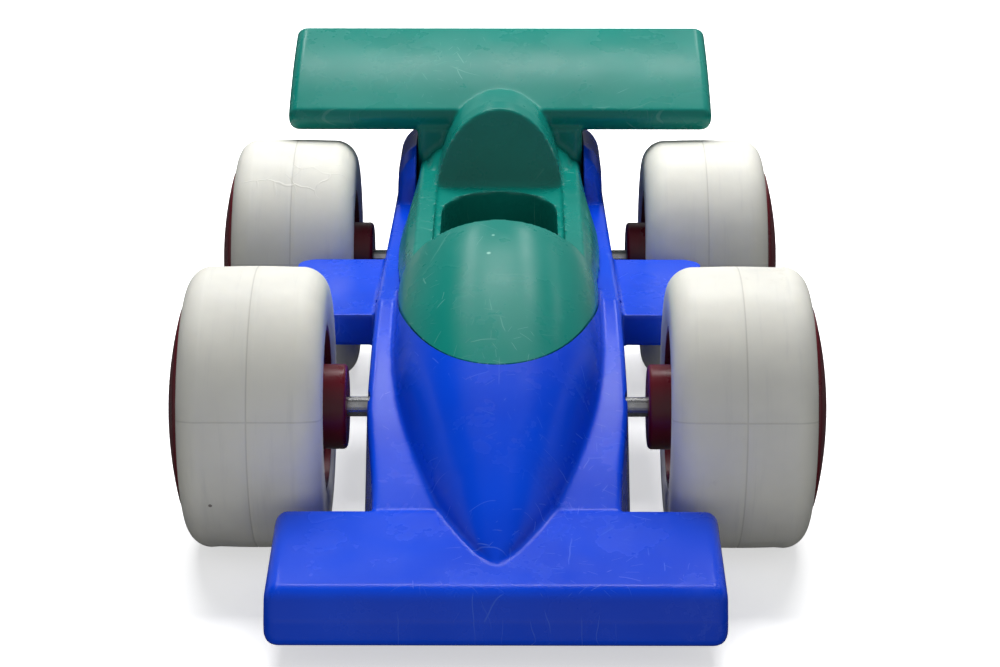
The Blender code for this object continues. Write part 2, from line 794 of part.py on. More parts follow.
def cap_profile():
    """A shallow domed cover that lies on the tyre's outer face, with a short skirt that plugs into it."""
    outer = TYRE_OUTER_X
    skirt = TYRE_BORE - GAP
    sphere = (CAP_RADIUS * CAP_RADIUS + CAP_RISE * CAP_RISE) / (2 * CAP_RISE)
    points = []
    steps = 7
    for i in range(steps + 1):
        r = CAP_RADIUS * i / steps
        height = math.sqrt(sphere * sphere - r * r) - (sphere - CAP_RISE)
        points.append((r, outer + CAP_RIM + height))
    points += [(CAP_RADIUS, outer + GAP), (skirt, outer + GAP), (skirt, outer - 4.4 * MM)]
    points += [(skirt - 2 * MM, outer - 4.4 * MM), (skirt - 2 * MM, outer - 2.2 * MM), (0.0, outer - 2.2 * MM)]
    return points


def cap(name, spec):
    """The cap's profile starts and ends on the axis, so it is left open there."""
    mesh = bpy.data.meshes.new(name)
    profile = cap_profile()
    mesh.from_pydata([(r, 0, h) for r, h in profile], [(i, i + 1) for i in range(len(profile) - 1)], [])
    part = add_object(name, mesh, spec)
    screw = part.modifiers.new("Turn", "SCREW")
    screw.axis = "Z"
    screw.steps = ROUND_STEPS
    screw.render_steps = ROUND_STEPS
    screw.use_merge_vertices = True
    screw.merge_threshold = 0.00001
    screw.use_smooth_shade = True
    return part


def make_axle(name, parent):
    radius, half = AXLE_RADIUS, AXLE_HALF_LENGTH
    chamfer = 0.6 * MM
    mesh = bpy.data.meshes.new(name)
    profile = [
        (0.0, half),
        (radius - chamfer, half),
        (radius, half - chamfer),
        (radius, -half + chamfer),
        (radius - chamfer, -half),
        (0.0, -half),
    ]
    mesh.from_pydata([(r, 0, h) for r, h in profile], [(i, i + 1) for i in range(len(profile) - 1)], [])
    axle = add_object(name, mesh, STEEL)
    screw = axle.modifiers.new("Turn", "SCREW")
    screw.axis = "Z"
    screw.steps = 24
    screw.render_steps = 24
    screw.use_merge_vertices = True
    screw.merge_threshold = 0.00001
    screw.use_smooth_shade = True
    axle.parent = parent
    axle.rotation_euler = (0, math.pi / 2, 0)
    return axle


def make_wheelset(row, y):
    """One axle with a wheel pressed on each end, on an empty at the axle's centre."""
    pivot = bpy.data.objects.new(f"{row}_wheelset_pivot", None)
    pivot.location = (0, y, WHEEL_RADIUS)
    PARTS.objects.link(pivot)
    make_axle(f"{row}_axle", pivot)
    for word, side in (("left", -1), ("right", 1)):
        pieces = (
            turned(f"{row}_{word}_tyre", tyre_profile(), WHITE, 28),
            turned(f"{row}_{word}_hub", hub_profile(), RED, 24),
            cap(f"{row}_{word}_hub_cap", RED),
        )
        for piece in pieces:
            piece.parent = pivot
            piece.rotation_euler = (0, side * math.pi / 2, 0)


def drop_helpers():
    for helper in list(CUTTERS.objects):
        bpy.data.objects.remove(helper, do_unlink=True)
    bpy.data.collections.remove(CUTTERS)


promote(make_lower_body(), "lower_body", BLUE)
promote(make_upper_body(), "upper_body", GREEN)
for screw_name, screw_x, screw_distance in screw_spots():
    make_screw(screw_name, screw_x, screw_distance)
make_wheelset("front", FRONT_AXLE_Y)
make_wheelset("rear", REAR_AXLE_Y)
drop_helpers()
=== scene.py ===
"""Toy formula racing car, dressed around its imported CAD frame.

The two body mouldings are rebuilt finer and given soft moulded edges, the wheels are turned again in more
steps, and every piece gets a procedural finish. The frame is +Z up with the nose towards -Y.
"""

import logging
import math
from dataclasses import dataclass
from enum import Enum

import bmesh
import bpy
from mathutils import Matrix, Vector

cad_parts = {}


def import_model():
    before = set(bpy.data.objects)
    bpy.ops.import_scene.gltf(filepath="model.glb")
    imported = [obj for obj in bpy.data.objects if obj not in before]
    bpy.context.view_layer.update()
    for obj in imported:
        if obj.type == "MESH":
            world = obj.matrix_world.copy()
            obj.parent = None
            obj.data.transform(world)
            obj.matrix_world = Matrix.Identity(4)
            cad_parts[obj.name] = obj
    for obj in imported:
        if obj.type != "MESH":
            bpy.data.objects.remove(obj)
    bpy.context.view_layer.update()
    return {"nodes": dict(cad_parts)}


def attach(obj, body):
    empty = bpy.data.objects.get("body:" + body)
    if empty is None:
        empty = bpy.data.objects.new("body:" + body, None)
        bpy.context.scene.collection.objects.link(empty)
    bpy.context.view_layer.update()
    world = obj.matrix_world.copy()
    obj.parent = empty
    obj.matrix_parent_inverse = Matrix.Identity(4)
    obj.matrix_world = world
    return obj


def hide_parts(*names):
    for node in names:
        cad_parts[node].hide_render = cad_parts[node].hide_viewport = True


log = logging.getLogger("toy_racing_car")

MM = 0.001
GAP = 0.3 * MM
WALL = 2.4 * MM
FAR_BELOW = -20.0 * MM
FAR_ABOVE = 130.0 * MM
SHARP_ANGLE = math.radians(32)
PARTING_ANGLE = math.radians(40)
ARCH_STEPS = 72
LOFT_STEPS = 64
VOXEL = 0.62 * MM

WHEEL_RADIUS = 35.0 * MM
TYRE_INNER = 42.0 * MM
TYRE_OUTER = 76.6 * MM
AXLE_HOLE_RADIUS = 3.1 * MM
COCKPIT_HALF_WIDTH = 17.9 * MM
COCKPIT_FRONT = 21.6 * MM
BUCKET_BACK = 110.5 * MM
DECK_HALF_WIDTH = 24.2 * MM

Point = tuple[float, float, float]
Flat = tuple[float, float]
Colour = tuple[float, float, float]


class Side(Enum):
    """The two sides of the car, by the sign of X."""

    LEFT = -1
    RIGHT = 1


class Row(Enum):
    """The two axles, by their distance behind the front one."""

    FRONT = 0.0
    REAR = 129.0 * MM


def mix(a: float, b: float, t: float) -> float:
    """The value a share t of the way from a to b."""
    return a + (b - a) * t


def ease(t: float) -> float:
    """A smooth step from 0 to 1."""
    t = min(max(t, 0.0), 1.0)
    return t * t * (3 - 2 * t)


# ---------------------------------------------------------------- mesh tools


def add_object(name: str, mesh: bpy.types.Mesh) -> bpy.types.Object:
    """Links a new object that holds the mesh, and returns it.

    Args:
        name: the object's name.
        mesh: the mesh it holds.

    Returns:
        The new object.
    """
    obj = bpy.data.objects.new(name, mesh)
    bpy.context.scene.collection.objects.link(obj)
    return obj


def finish_mesh(bm: bmesh.types.BMesh, name: str) -> bpy.types.Object:
    """Turns a bmesh into an object with outward normals, and frees the bmesh.

    Args:
        bm: the bmesh, which is used up.
        name: the object's and mesh's name.

    Returns:
        The new object.
    """
    bmesh.ops.recalc_face_normals(bm, faces=bm.faces)
    mesh = bpy.data.meshes.new(name)
    bm.to_mesh(mesh)
    bm.free()
    return add_object(name, mesh)


def loft(name: str, rings: list[list[Point]]) -> bpy.types.Object:
    """Skins a closed solid over rings of equal length.

    Args:
        name: the object's name.
        rings: the sections, each with the same number of points.

    Returns:
        The new object.
    """
    bm = bmesh.new()
    rows = [[bm.verts.new(point) for point in ring] for ring in rings]
    count = len(rows[0])
    for near, far in zip(rows, rows[1:]):
        for i in range(count):
            j = (i + 1) % count
            bm.faces.new((near[i], near[j], far[j], far[i]))
    bm.faces.new(rows[0])
    bm.faces.new(rows[-1])
    return finish_mesh(bm, name)


def extrude(name: str, points: list[Point], along: Point, bevel: float = 0.0) -> bpy.types.Object:
    """Draws a flat outline along a direction.

    Args:
        name: the object's name.
        points: the outline's corners in order.
        along: how far and which way it is drawn.
        bevel: the radius given to every sharp edge, or 0.

    Returns:
        The new object.
    """
    bm = bmesh.new()
    face = bm.faces.new([bm.verts.new(point) for point in points])
    drawn = bmesh.ops.extrude_face_region(bm, geom=[face])
    moved = [item for item in drawn["geom"] if isinstance(item, bmesh.types.BMVert)]
    bmesh.ops.translate(bm, verts=moved, vec=along)
    if bevel:
        bmesh.ops.recalc_face_normals(bm, faces=bm.faces)
        sharp = [edge for edge in bm.edges if edge.calc_face_angle(0.0) > SHARP_ANGLE]
        bmesh.ops.bevel(bm, geom=sharp, offset=bevel, segments=7, profile=0.5, affect="EDGES")
    return finish_mesh(bm, name)


def prism(name: str, outline: list[Flat], low: float, high: float, bevel: float = 0.0) -> bpy.types.Object:
    """A plan outline of (x, y) points drawn up from low to high."""
    return extrude(name, [(x, y, low) for x, y in outline], (0, 0, high - low), bevel)


def slab(name: str, outline: list[Flat], half_width: float, bevel: float = 0.0) -> bpy.types.Object:
    """A side outline of (y, z) points drawn across the car."""
    return extrude(name, [(-half_width, y, z) for y, z in outline], (2 * half_width, 0, 0), bevel)


def rod(name: str, radius: float, start: Point, end: Point) -> bpy.types.Object:
    """A round bar from start to end.

    Args:
        name: the object's name.
        radius: the bar's radius.
        start: the middle of one end.
        end: the middle of the other end.

    Returns:
        The new object.
    """
    first, last = Vector(start), Vector(end)
    span = last - first
    bm = bmesh.new()
    bmesh.ops.create_cone(bm, cap_ends=True, segments=48, radius1=radius, radius2=radius, depth=span.length)
    turn = span.to_track_quat("Z", "Y").to_matrix().to_4x4()
    bmesh.ops.transform(bm, matrix=Matrix.Translation((first + last) / 2) @ turn, verts=bm.verts)
    return finish_mesh(bm, name)


def settle(obj: bpy.types.Object) -> bpy.types.Object:
    """Applies every modifier of the object to its mesh, and returns the object.

    Args:
        obj: the object.

    Returns:
        The same object, with no modifiers left.
    """
    bpy.context.view_layer.update()
    graph = bpy.context.evaluated_depsgraph_get()
    mesh = bpy.data.meshes.new_from_object(obj.evaluated_get(graph))
    obj.modifiers.clear()
    obj.data = mesh
    return obj


def combine(base: bpy.types.Object, operation: str, *others: bpy.types.Object) -> bpy.types.Object:
    """Applies one Boolean operation with each of the other shapes, which are used up.

    Args:
        base: the shape that is changed.
        operation: UNION, DIFFERENCE or INTERSECT.
        others: the shapes to combine it with.

    Returns:
        The base shape.
    """
    for other in others:
        modifier = base.modifiers.new(operation.title(), "BOOLEAN")
        modifier.operation = operation
        modifier.solver = "MANIFOLD"
        modifier.object = other
        settle(base)
        bpy.data.objects.remove(other, do_unlink=True)
    return base


def mould(obj: bpy.types.Object, rounds: int, share: float) -> bpy.types.Object:
    """Gives a hard-edged form the soft edges of an injection moulding.

    Args:
        obj: the form, closed and built from Booleans.
        rounds: how many smoothing passes soften the edges.
        share: the share of faces kept at the end.

    Returns:
        The same object, with a dense smooth mesh.
    """
    remesh = obj.modifiers.new("Skin", "REMESH")
    remesh.mode = "VOXEL"
    remesh.voxel_size = VOXEL
    smooth = obj.modifiers.new("Soften", "SMOOTH")
    smooth.factor = 0.5
    smooth.iterations = rounds
    thin = obj.modifiers.new("Thin", "DECIMATE")
    thin.ratio = share
    settle(obj)
    obj.data.shade_smooth()
    return obj


def arch(y: float, half_width: float, base_z: float, top_z: float, low_z: float) -> list[Point]:
    """An elliptical arch on two straight legs, square to the car's length.

    Args:
        y: where the section stands along the car.
        half_width: half the arch's width.
        base_z: height where the legs end and the ellipse starts.
        top_z: height of the arch's top.
        low_z: height of the legs' feet.

    Returns:
        The section's points.
    """
    ring: list[Point] = [(half_width, y, low_z)]
    for i in range(ARCH_STEPS + 1):
        angle = math.pi * i / ARCH_STEPS
        ring.append((half_width * math.cos(angle), y, base_z + (top_z - base_z) * math.sin(angle)))
    ring.append((-half_width, y, low_z))
    return ring


def flat_top(
    y: float, half_width: float, low_half_width: float, low_z: float, top_z: float, radius: float
) -> list[Point]:
    """A flat-topped section with rounded upper edges.

    Args:
        y: where the section stands along the car.
        half_width: half the width at the top.
        low_half_width: half the width at the foot.
        low_z: height of the foot.
        top_z: height of the top.
        radius: radius of the two upper edges.

    Returns:
        The section's points.
    """
    steps = 12
    ring: list[Point] = [(low_half_width, y, low_z)]
    for side in (1, -1):
        for i in range(steps + 1):
            angle = math.pi / 2 * (i if side > 0 else steps - i) / steps
            x = half_width - radius + radius * math.cos(angle)
            ring.append((side * x, y, top_z - radius + radius * math.sin(angle)))
    ring.append((-low_half_width, y, low_z))
    return ring


def round_plan(half_width: float, front: float, back: float, radius: float) -> list[Flat]:
    """A plan rectangle with all four corners rounded.

    Args:
        half_width: half the rectangle's width.
        front: Y of its front edge.
        back: Y of its back edge.
        radius: its corners' radius.

    Returns:
        The outline's points.
    """
    steps = 12
    corners = (
        (half_width - radius, back - radius),
        (-half_width + radius, back - radius),
        (-half_width + radius, front + radius),
        (half_width - radius, front + radius),
    )
    points = []
    for quarter, (x, y) in enumerate(corners):
        for i in range(steps + 1):
            angle = math.pi / 2 * (quarter + i / steps)
            points.append((x + radius * math.cos(angle), y + radius * math.sin(angle)))
    return points


# ---------------------------------------------------------------- the lines that both mouldings share


@dataclass(frozen=True)
class CarLines:
    """The lofted lines of the body. Distances are measured behind the front axle.

    Attributes:
        front_axle_y: where the front axle lies along the car.
        shelf_front: distance and height of the tub's shelf at the front wing.
        shelf_knee: the same where its slope levels off.
        shelf_back: the same at the engine cover.
        tub_half_width: half the tub's width at the front axle.
        nose_half_width: half the tub's width at the front wing.
        tail_half_width: half the tub's width at the tail.
        tail: distance of the tail's end.
        tip: distance and height of the nose's tip.
        widest: distance where the nose and hood are widest.
        hood_half_width: half the hood's width there.
        lip: distance and height of the hood's rear lip.
        hood_tip: distance of the hood's front tip on the parting line.
        hood_side: distance where the parting line turns along the sides.
    """

    front_axle_y: float = -49.0 * MM
    shelf_front: Flat = (-39.6 * MM, 24.3 * MM)
    shelf_knee: Flat = (40.0 * MM, 50.2 * MM)
    shelf_back: Flat = (126.0 * MM, 53.2 * MM)
    tub_half_width: float = 32.4 * MM
    nose_half_width: float = 29.6 * MM
    tail_half_width: float = 30.4 * MM
    tail: float = 166.0 * MM
    tip: Flat = (-67.0 * MM, 19.5 * MM)
    widest: float = 20.0 * MM
    hood_half_width: float = 26.6 * MM
    lip: Flat = (48.0 * MM, 70.2 * MM)
    hood_tip: float = -11.5 * MM
    hood_side: float = 47.0 * MM

    def at(self, distance: float) -> float:
        """The Y coordinate of a distance behind the front axle."""
        return self.front_axle_y + distance

    def shelf_z(self, distance: float) -> float:
        """Height of the tub's shelf at a distance.

        Args:
            distance: distance behind the front axle.

        Returns:
            The height.
        """
        (y0, z0), (y1, z1), (y2, z2) = self.shelf_front, self.shelf_knee, self.shelf_back
        if distance < y1:
            t = (distance - y0) / (y1 - y0)
            return z0 + (z1 - z0) * (1.30 * t - 0.30 * t * t)
        return mix(z1, z2, (distance - y1) / (y2 - y1))

    def tub_width(self, distance: float) -> float:
        """Half the tub's width at a distance.

        Args:
            distance: distance behind the front axle.

        Returns:
            Half the width.
        """
        if distance < 0:
            return mix(self.tub_half_width, self.nose_half_width, ease(distance / self.shelf_front[0]))
        return mix(self.tub_half_width, self.tail_half_width, ease(distance / self.tail))

    def nose_width(self, distance: float) -> float:
        """Half the width of the nose and hood at a distance."""
        t = max(self.widest - distance, 0.0) / (self.widest - self.tip[0])
        return self.hood_half_width * (1 - t * t)

    def ridge_z(self, distance: float) -> float:
        """Height of the ridge of the nose and hood at a distance."""
        t = (distance - self.tip[0]) / (self.lip[0] - self.tip[0])
        return self.tip[1] + (self.lip[1] - self.tip[1]) * (1 - (1 - min(t, 1.0)) ** 1.4)

    def bullet(self, name: str, inset: float, start: float, end: float, low_z: float) -> bpy.types.Object:
        """The nose and hood form.

        Args:
            name: the object's name.
            inset: how far inside the outer skin it lies.
            start: distance of its front end.
            end: distance of its back end.
            low_z: height of its underside.

        Returns:
            The new form.
        """
        rings = []
        for i in range(LOFT_STEPS + 1):
            distance = mix(start, end, (i / LOFT_STEPS) ** 1.3)
            base = min(self.shelf_z(max(distance, self.shelf_front[0])), self.ridge_z(distance)) - 2.0 * MM
            wide = max(self.nose_width(distance) - inset, 0.35 * MM)
            top = max(self.ridge_z(distance) - inset, base + 0.2 * MM)
            rings.append(arch(self.at(distance), wide, base, top, low_z))
        return loft(name, rings)

    def tub(
        self, name: str, inset: float, start: float, end: float, low_z: float, radius: float
    ) -> bpy.types.Object:
        """The tub's form between two distances, inset from its outer skin.

        Args:
            name: the object's name.
            inset: how far inside the outer skin it lies.
            start: distance of its front end.
            end: distance of its back end.
            low_z: height of its foot.
            radius: radius of the shelf's edges.

        Returns:
            The new form.
        """
        rings = []
        for i in range(LOFT_STEPS + 1):
            distance = mix(start, end, i / LOFT_STEPS)
            wide = self.tub_width(distance) - inset
            top = self.shelf_z(distance) - inset
            rings.append(flat_top(self.at(distance), wide, wide + 1.0 * MM, low_z, top, radius))
        return loft(name, rings)

    def tongue(self, inset: float, end: float = 200 * MM) -> list[Flat]:
        """The hood's plan outline: a rounded tip, then straight sides to the end distance.

        Args:
            inset: how far inside the hood's edge it lies.
            end: distance where it ends.

        Returns:
            The outline's points.
        """
        half_width = self.hood_half_width + 6 * MM
        length = self.hood_side - self.hood_tip
        back, side_y = self.at(end), self.at(self.hood_side)
        points = [(half_width, back), (half_width, side_y)]
        steps = 72
        for i in range(steps + 1):
            angle = math.pi * i / steps
            across = (self.hood_half_width - inset) * math.cos(angle)
            points.append((across, self.at(self.hood_side - (length - inset) * math.sin(angle) ** 0.9)))
        return points + [(-half_width, side_y), (-half_width, back)]


# ---------------------------------------------------------------- finishes


class Net:
    """Builds one material's node tree in short calls."""

    def __init__(self, name: str) -> None:
        """Starts a material with a Principled shader and object coordinates.

        Args:
            name: the material's name.
        """
        self.material = bpy.data.materials.new(name)
        self.material.use_nodes = True
        self.tree = self.material.node_tree
        self.shader = self.tree.nodes["Principled BSDF"]
        self.place = self.tree.nodes.new("ShaderNodeTexCoord").outputs["Object"]

    def add(self, kind: str, **settings: object) -> bpy.types.Node:
        """A new node of the given kind with its properties set.

        Args:
            kind: the node's type.
            settings: values for its properties.

        Returns:
            The new node.
        """
        node = self.tree.nodes.new(kind)
        for key, value in settings.items():
            setattr(node, key, value)
        return node

    def feed(self, socket: bpy.types.NodeSocket, value: object) -> None:
        """Links or sets an input socket, by whether the value is a socket.

        Args:
            socket: the input socket.
            value: a number, a colour, a vector or an output socket.
        """
        if isinstance(value, bpy.types.NodeSocket):
            self.tree.links.new(value, socket)
        else:
            socket.default_value = value

    def math(self, operation: str, a: object, b: object = 0.0, clamp: bool = False) -> bpy.types.NodeSocket:
        """One Math node.

        Args:
            operation: the operation.
            a: the first value or socket.
            b: the second value or socket.
            clamp: whether the result is kept between 0 and 1.

        Returns:
            The result.
        """
        node = self.add("ShaderNodeMath", operation=operation, use_clamp=clamp)
        self.feed(node.inputs[0], a)
        self.feed(node.inputs[1], b)
        return node.outputs[0]

    def vector(self, operation: str, a: object, b: object) -> bpy.types.NodeSocket:
        """One Vector Math node.

        Args:
            operation: the operation.
            a: the first vector or socket.
            b: the second vector or socket.

        Returns:
            The result.
        """
        node = self.add("ShaderNodeVectorMath", operation=operation)
        self.feed(node.inputs[0], a)
        self.feed(node.inputs[1], b)
        return node.outputs[0]

    def stretch(self, vector: object, scale: Point, shift: Point = (0, 0, 0)) -> bpy.types.NodeSocket:
        """The vector moved and scaled on each axis.

        Args:
            vector: the vector socket.
            scale: the factor on each axis.
            shift: how far it is moved.

        Returns:
            The changed vector.
        """
        node = self.add("ShaderNodeMapping")
        self.feed(node.inputs["Vector"], vector)
        node.inputs["Location"].default_value = shift
        node.inputs["Scale"].default_value = scale
        return node.outputs[0]

    def noise(
        self, scale: float, detail: float = 3.0, rough: float = 0.55, vector: object = None
    ) -> bpy.types.NodeSocket:
        """A noise value at object coordinates, or at the given ones.

        Args:
            scale: how many features there are in a metre.
            detail: how many finer layers are added.
            rough: how strong the finer layers are.
            vector: the coordinates, or none for the object's own.

        Returns:
            The noise value, about 0.5 on average.
        """
        node = self.add("ShaderNodeTexNoise")
        self.feed(node.inputs["Vector"], vector or self.place)
        node.inputs["Scale"].default_value = scale
        node.inputs["Detail"].default_value = detail
        node.inputs["Roughness"].default_value = rough
        return node.outputs["Fac"]

    def band(
        self, value: object, start: float, end: float, low: float = 0.0, high: float = 1.0
    ) -> bpy.types.NodeSocket:
        """A smooth step of the value from low at start to high at end.

        Args:
            value: the value or socket.
            start: the value where the step starts.
            end: the value where it ends.
            low: the result at the start.
            high: the result at the end.

        Returns:
            The result.
        """
        node = self.add("ShaderNodeMapRange", interpolation_type="SMOOTHSTEP")
        self.feed(node.inputs["Value"], value)
        for key, number in (("From Min", start), ("From Max", end), ("To Min", low), ("To Max", high)):
            node.inputs[key].default_value = number
        return node.outputs[0]

    def blend(self, share: object, first: object, second: object) -> bpy.types.NodeSocket:
        """A colour between two colours.

        Args:
            share: the share of the second colour.
            first: the first colour or socket.
            second: the second colour or socket.

        Returns:
            The blended colour.
        """
        node = self.add("ShaderNodeMix", data_type="RGBA")
        colours = [socket for socket in node.inputs if socket.type == "RGBA"]
        self.feed(node.inputs[0], share)
        for socket, value in zip(colours, (first, second)):
            self.feed(socket, value if isinstance(value, bpy.types.NodeSocket) else (*value, 1.0))
        return next(socket for socket in node.outputs if socket.type == "RGBA")

    def axis(self, vector: object, index: int) -> bpy.types.NodeSocket:
        """One coordinate of a vector.

        Args:
            vector: the vector or colour socket.
            index: 0, 1 or 2 for X, Y or Z.

        Returns:
            The coordinate.
        """
        node = self.add("ShaderNodeSeparateXYZ")
        self.feed(node.inputs[0], vector)
        return node.outputs[index]

    def scratches(
        self, cells: float, reach: float, width: float, density: float, shift: float
    ) -> bpy.types.NodeSocket:
        """Short random lines scattered over the plan view.

        Args:
            cells: how many cells there are in a metre, each holding one line at most.
            reach: half the longest line, in metres.
            width: half the line's width, in metres.
            density: the share of cells that hold a line.
            shift: an offset that makes this layer differ from others.

        Returns:
            A mask that is 1 on the lines.
        """
        wobble = self.vector("SCALE", self.add_noise_vector(90.0), (0, 0, 0))
        wobble.node.inputs["Scale"].default_value = 0.0022
        bent = self.vector("ADD", self.stretch(self.place, (1, 1, 1), (shift, shift * 0.7, 0)), wobble)
        cell = self.add("ShaderNodeTexVoronoi", voronoi_dimensions="2D")
        self.feed(cell.inputs["Vector"], bent)
        cell.inputs["Scale"].default_value = cells
        local = self.vector("SUBTRACT", bent, cell.outputs["Position"])
        turn = self.add("ShaderNodeVectorRotate", rotation_type="Z_AXIS")
        self.feed(turn.inputs["Vector"], local)
        self.feed(turn.inputs["Angle"], self.math("MULTIPLY", self.axis(cell.outputs["Color"], 0), math.tau))
        along = self.math("ABSOLUTE", self.axis(turn.outputs[0], 0))
        across = self.math("ABSOLUTE", self.axis(turn.outputs[0], 1))
        length = self.math("MULTIPLY", self.axis(cell.outputs["Color"], 1), reach)
        ends = self.math("SUBTRACT", length, along)
        lengthways = self.band(ends, 0.0, reach * 0.35)
        thin = self.band(across, width * 0.4, width, 1.0, 0.0)
        chosen = self.math("LESS_THAN", self.axis(cell.outputs["Color"], 2), density)
        return self.math("MULTIPLY", self.math("MULTIPLY", lengthways, thin), chosen)

    def add_noise_vector(self, scale: float) -> bpy.types.NodeSocket:
        """A noise colour used as a vector, centred on zero.

        Args:
            scale: how many features there are in a metre.

        Returns:
            The vector.
        """
        node = self.add("ShaderNodeTexNoise")
        self.feed(node.inputs["Vector"], self.place)
        node.inputs["Scale"].default_value = scale
        return self.vector("SUBTRACT", node.outputs["Color"], (0.5, 0.5, 0.5))

    def bump(self, height: object, strength: float, distance: float) -> None:
        """Feeds a height to the shader's normal, on top of any earlier one.

        Args:
            height: the height socket.
            strength: how strongly it tips the normal.
            distance: the height of a full step, in metres.
        """
        node = self.add("ShaderNodeBump")
        node.inputs["Strength"].default_value = strength
        node.inputs["Distance"].default_value = distance
        self.feed(node.inputs["Height"], height)
        old = self.shader.inputs["Normal"]
        if old.is_linked:
            self.feed(node.inputs["Normal"], old.links[0].from_socket)
        self.feed(old, node.outputs["Normal"])


@dataclass(frozen=True)
class BodyPlastic:
    """A glossy moulded plastic with scratches, haze, pale edges that are partly rubbed wear and partly a
    painted highlight, and pale pips that are a painted highlight.

    Attributes:
        name: the material's name.
        colour: the plastic's main colour.
        deep: the colour where pigment is a little denser.
        pale_wear_and_glint: the pale colour of scratches, haze and rubbed edges, also used for the painted
            highlight on edges and pips.
        roughness: the roughness of the clean surface.
        scratch: how strongly scratches show.
        edge_wear_and_glint: how strongly the pale convex edges show, partly rubbed wear and partly a painted
            highlight.
        pip_glints: places of small pips painted pale as a painted highlight, with their radius.
    """

    name: str
    colour: Colour
    deep: Colour
    pale_wear_and_glint: Colour
    roughness: float
    scratch: float
    edge_wear_and_glint: float
    pip_glints: tuple[tuple[Point, float], ...] = ()

    def build(self) -> bpy.types.Material:
        """Makes the material.

        Returns:
            The finished material.
        """
        net = Net(self.name)
        cloud = net.band(net.noise(22.0, 2.0), 0.30, 0.70)
        base = net.blend(cloud, self.colour, self.deep)
        broad_haze = net.band(net.noise(42.0, 6.0, 0.62), 0.52, 0.74)
        haze = net.math("MULTIPLY", broad_haze, net.band(net.noise(380.0, 4.0), 0.40, 0.62))
        base = net.blend(net.math("MULTIPLY", haze, 0.10 * self.scratch), base, self.pale_wear_and_glint)
        long_lines = net.scratches(62.0, 9.0 * MM, 0.17 * MM, 0.42, 0.31)
        short_lines = net.scratches(150.0, 3.6 * MM, 0.15 * MM, 0.40, 0.77)
        fine_lines = net.scratches(330.0, 2.4 * MM, 0.09 * MM, 0.55, 1.31)
        patchy = net.band(net.noise(30.0, 3.0), 0.42, 0.66)
        faint_lines = net.math("MULTIPLY", long_lines, 0.55)
        lines = net.math("MAXIMUM", faint_lines, net.math("MULTIPLY", short_lines, 0.75))
        fine = net.math("MULTIPLY", fine_lines, net.math("MULTIPLY", patchy, 0.6))
        lines = net.math("MULTIPLY", net.math("MAXIMUM", lines, fine), patchy)
        base = net.blend(net.math("MULTIPLY", lines, self.scratch, True), base, self.pale_wear_and_glint)
        # Convex edges are painted pale: partly rubbed wear, partly a painted highlight along the edges.
        edge = net.add("ShaderNodeNewGeometry").outputs["Pointiness"]
        raised = net.band(edge, 0.525, 0.575)
        rubbed_edge_glint = net.math("MULTIPLY", raised, net.band(net.noise(260.0, 5.0, 0.7), 0.45, 0.66))
        base = net.blend(net.math("MULTIPLY", rubbed_edge_glint, self.edge_wear_and_glint, True), base, self.pale_wear_and_glint)
        # Painted highlight: two small pips are painted pale to stand in for their glints.
        for spot, radius in self.pip_glints:
            away = net.add("ShaderNodeVectorMath", operation="DISTANCE")
            net.feed(away.inputs[0], net.place)
            away.inputs[1].default_value = spot
            base = net.blend(net.band(away.outputs["Value"], radius * 0.3, radius, 0.7, 0.0), base, self.pale_wear_and_glint)
        net.feed(net.shader.inputs["Base Color"], base)
        smudge = net.band(net.noise(55.0, 4.0, 0.6), 0.35, 0.75, 0.0, 0.10)
        rough = net.math("ADD", smudge, self.roughness)
        rough = net.math("ADD", rough, net.math("MULTIPLY", haze, 0.10))
        rough = net.math("ADD", rough, net.math("MULTIPLY", lines, 0.25))
        net.feed(net.shader.inputs["Roughness"], rough)
        net.shader.inputs["Specular IOR Level"].default_value = 0.27
        net.shader.inputs["Coat Weight"].default_value = 0.05
        net.shader.inputs["Coat Roughness"].default_value = 0.20
        net.bump(net.noise(75.0, 1.0), 0.5, 0.25 * MM)
        net.bump(net.noise(900.0, 3.0), 0.25, 0.03 * MM)
        net.bump(net.math("SUBTRACT", 1.0, lines), 0.5, 0.05 * MM)
        return net.material


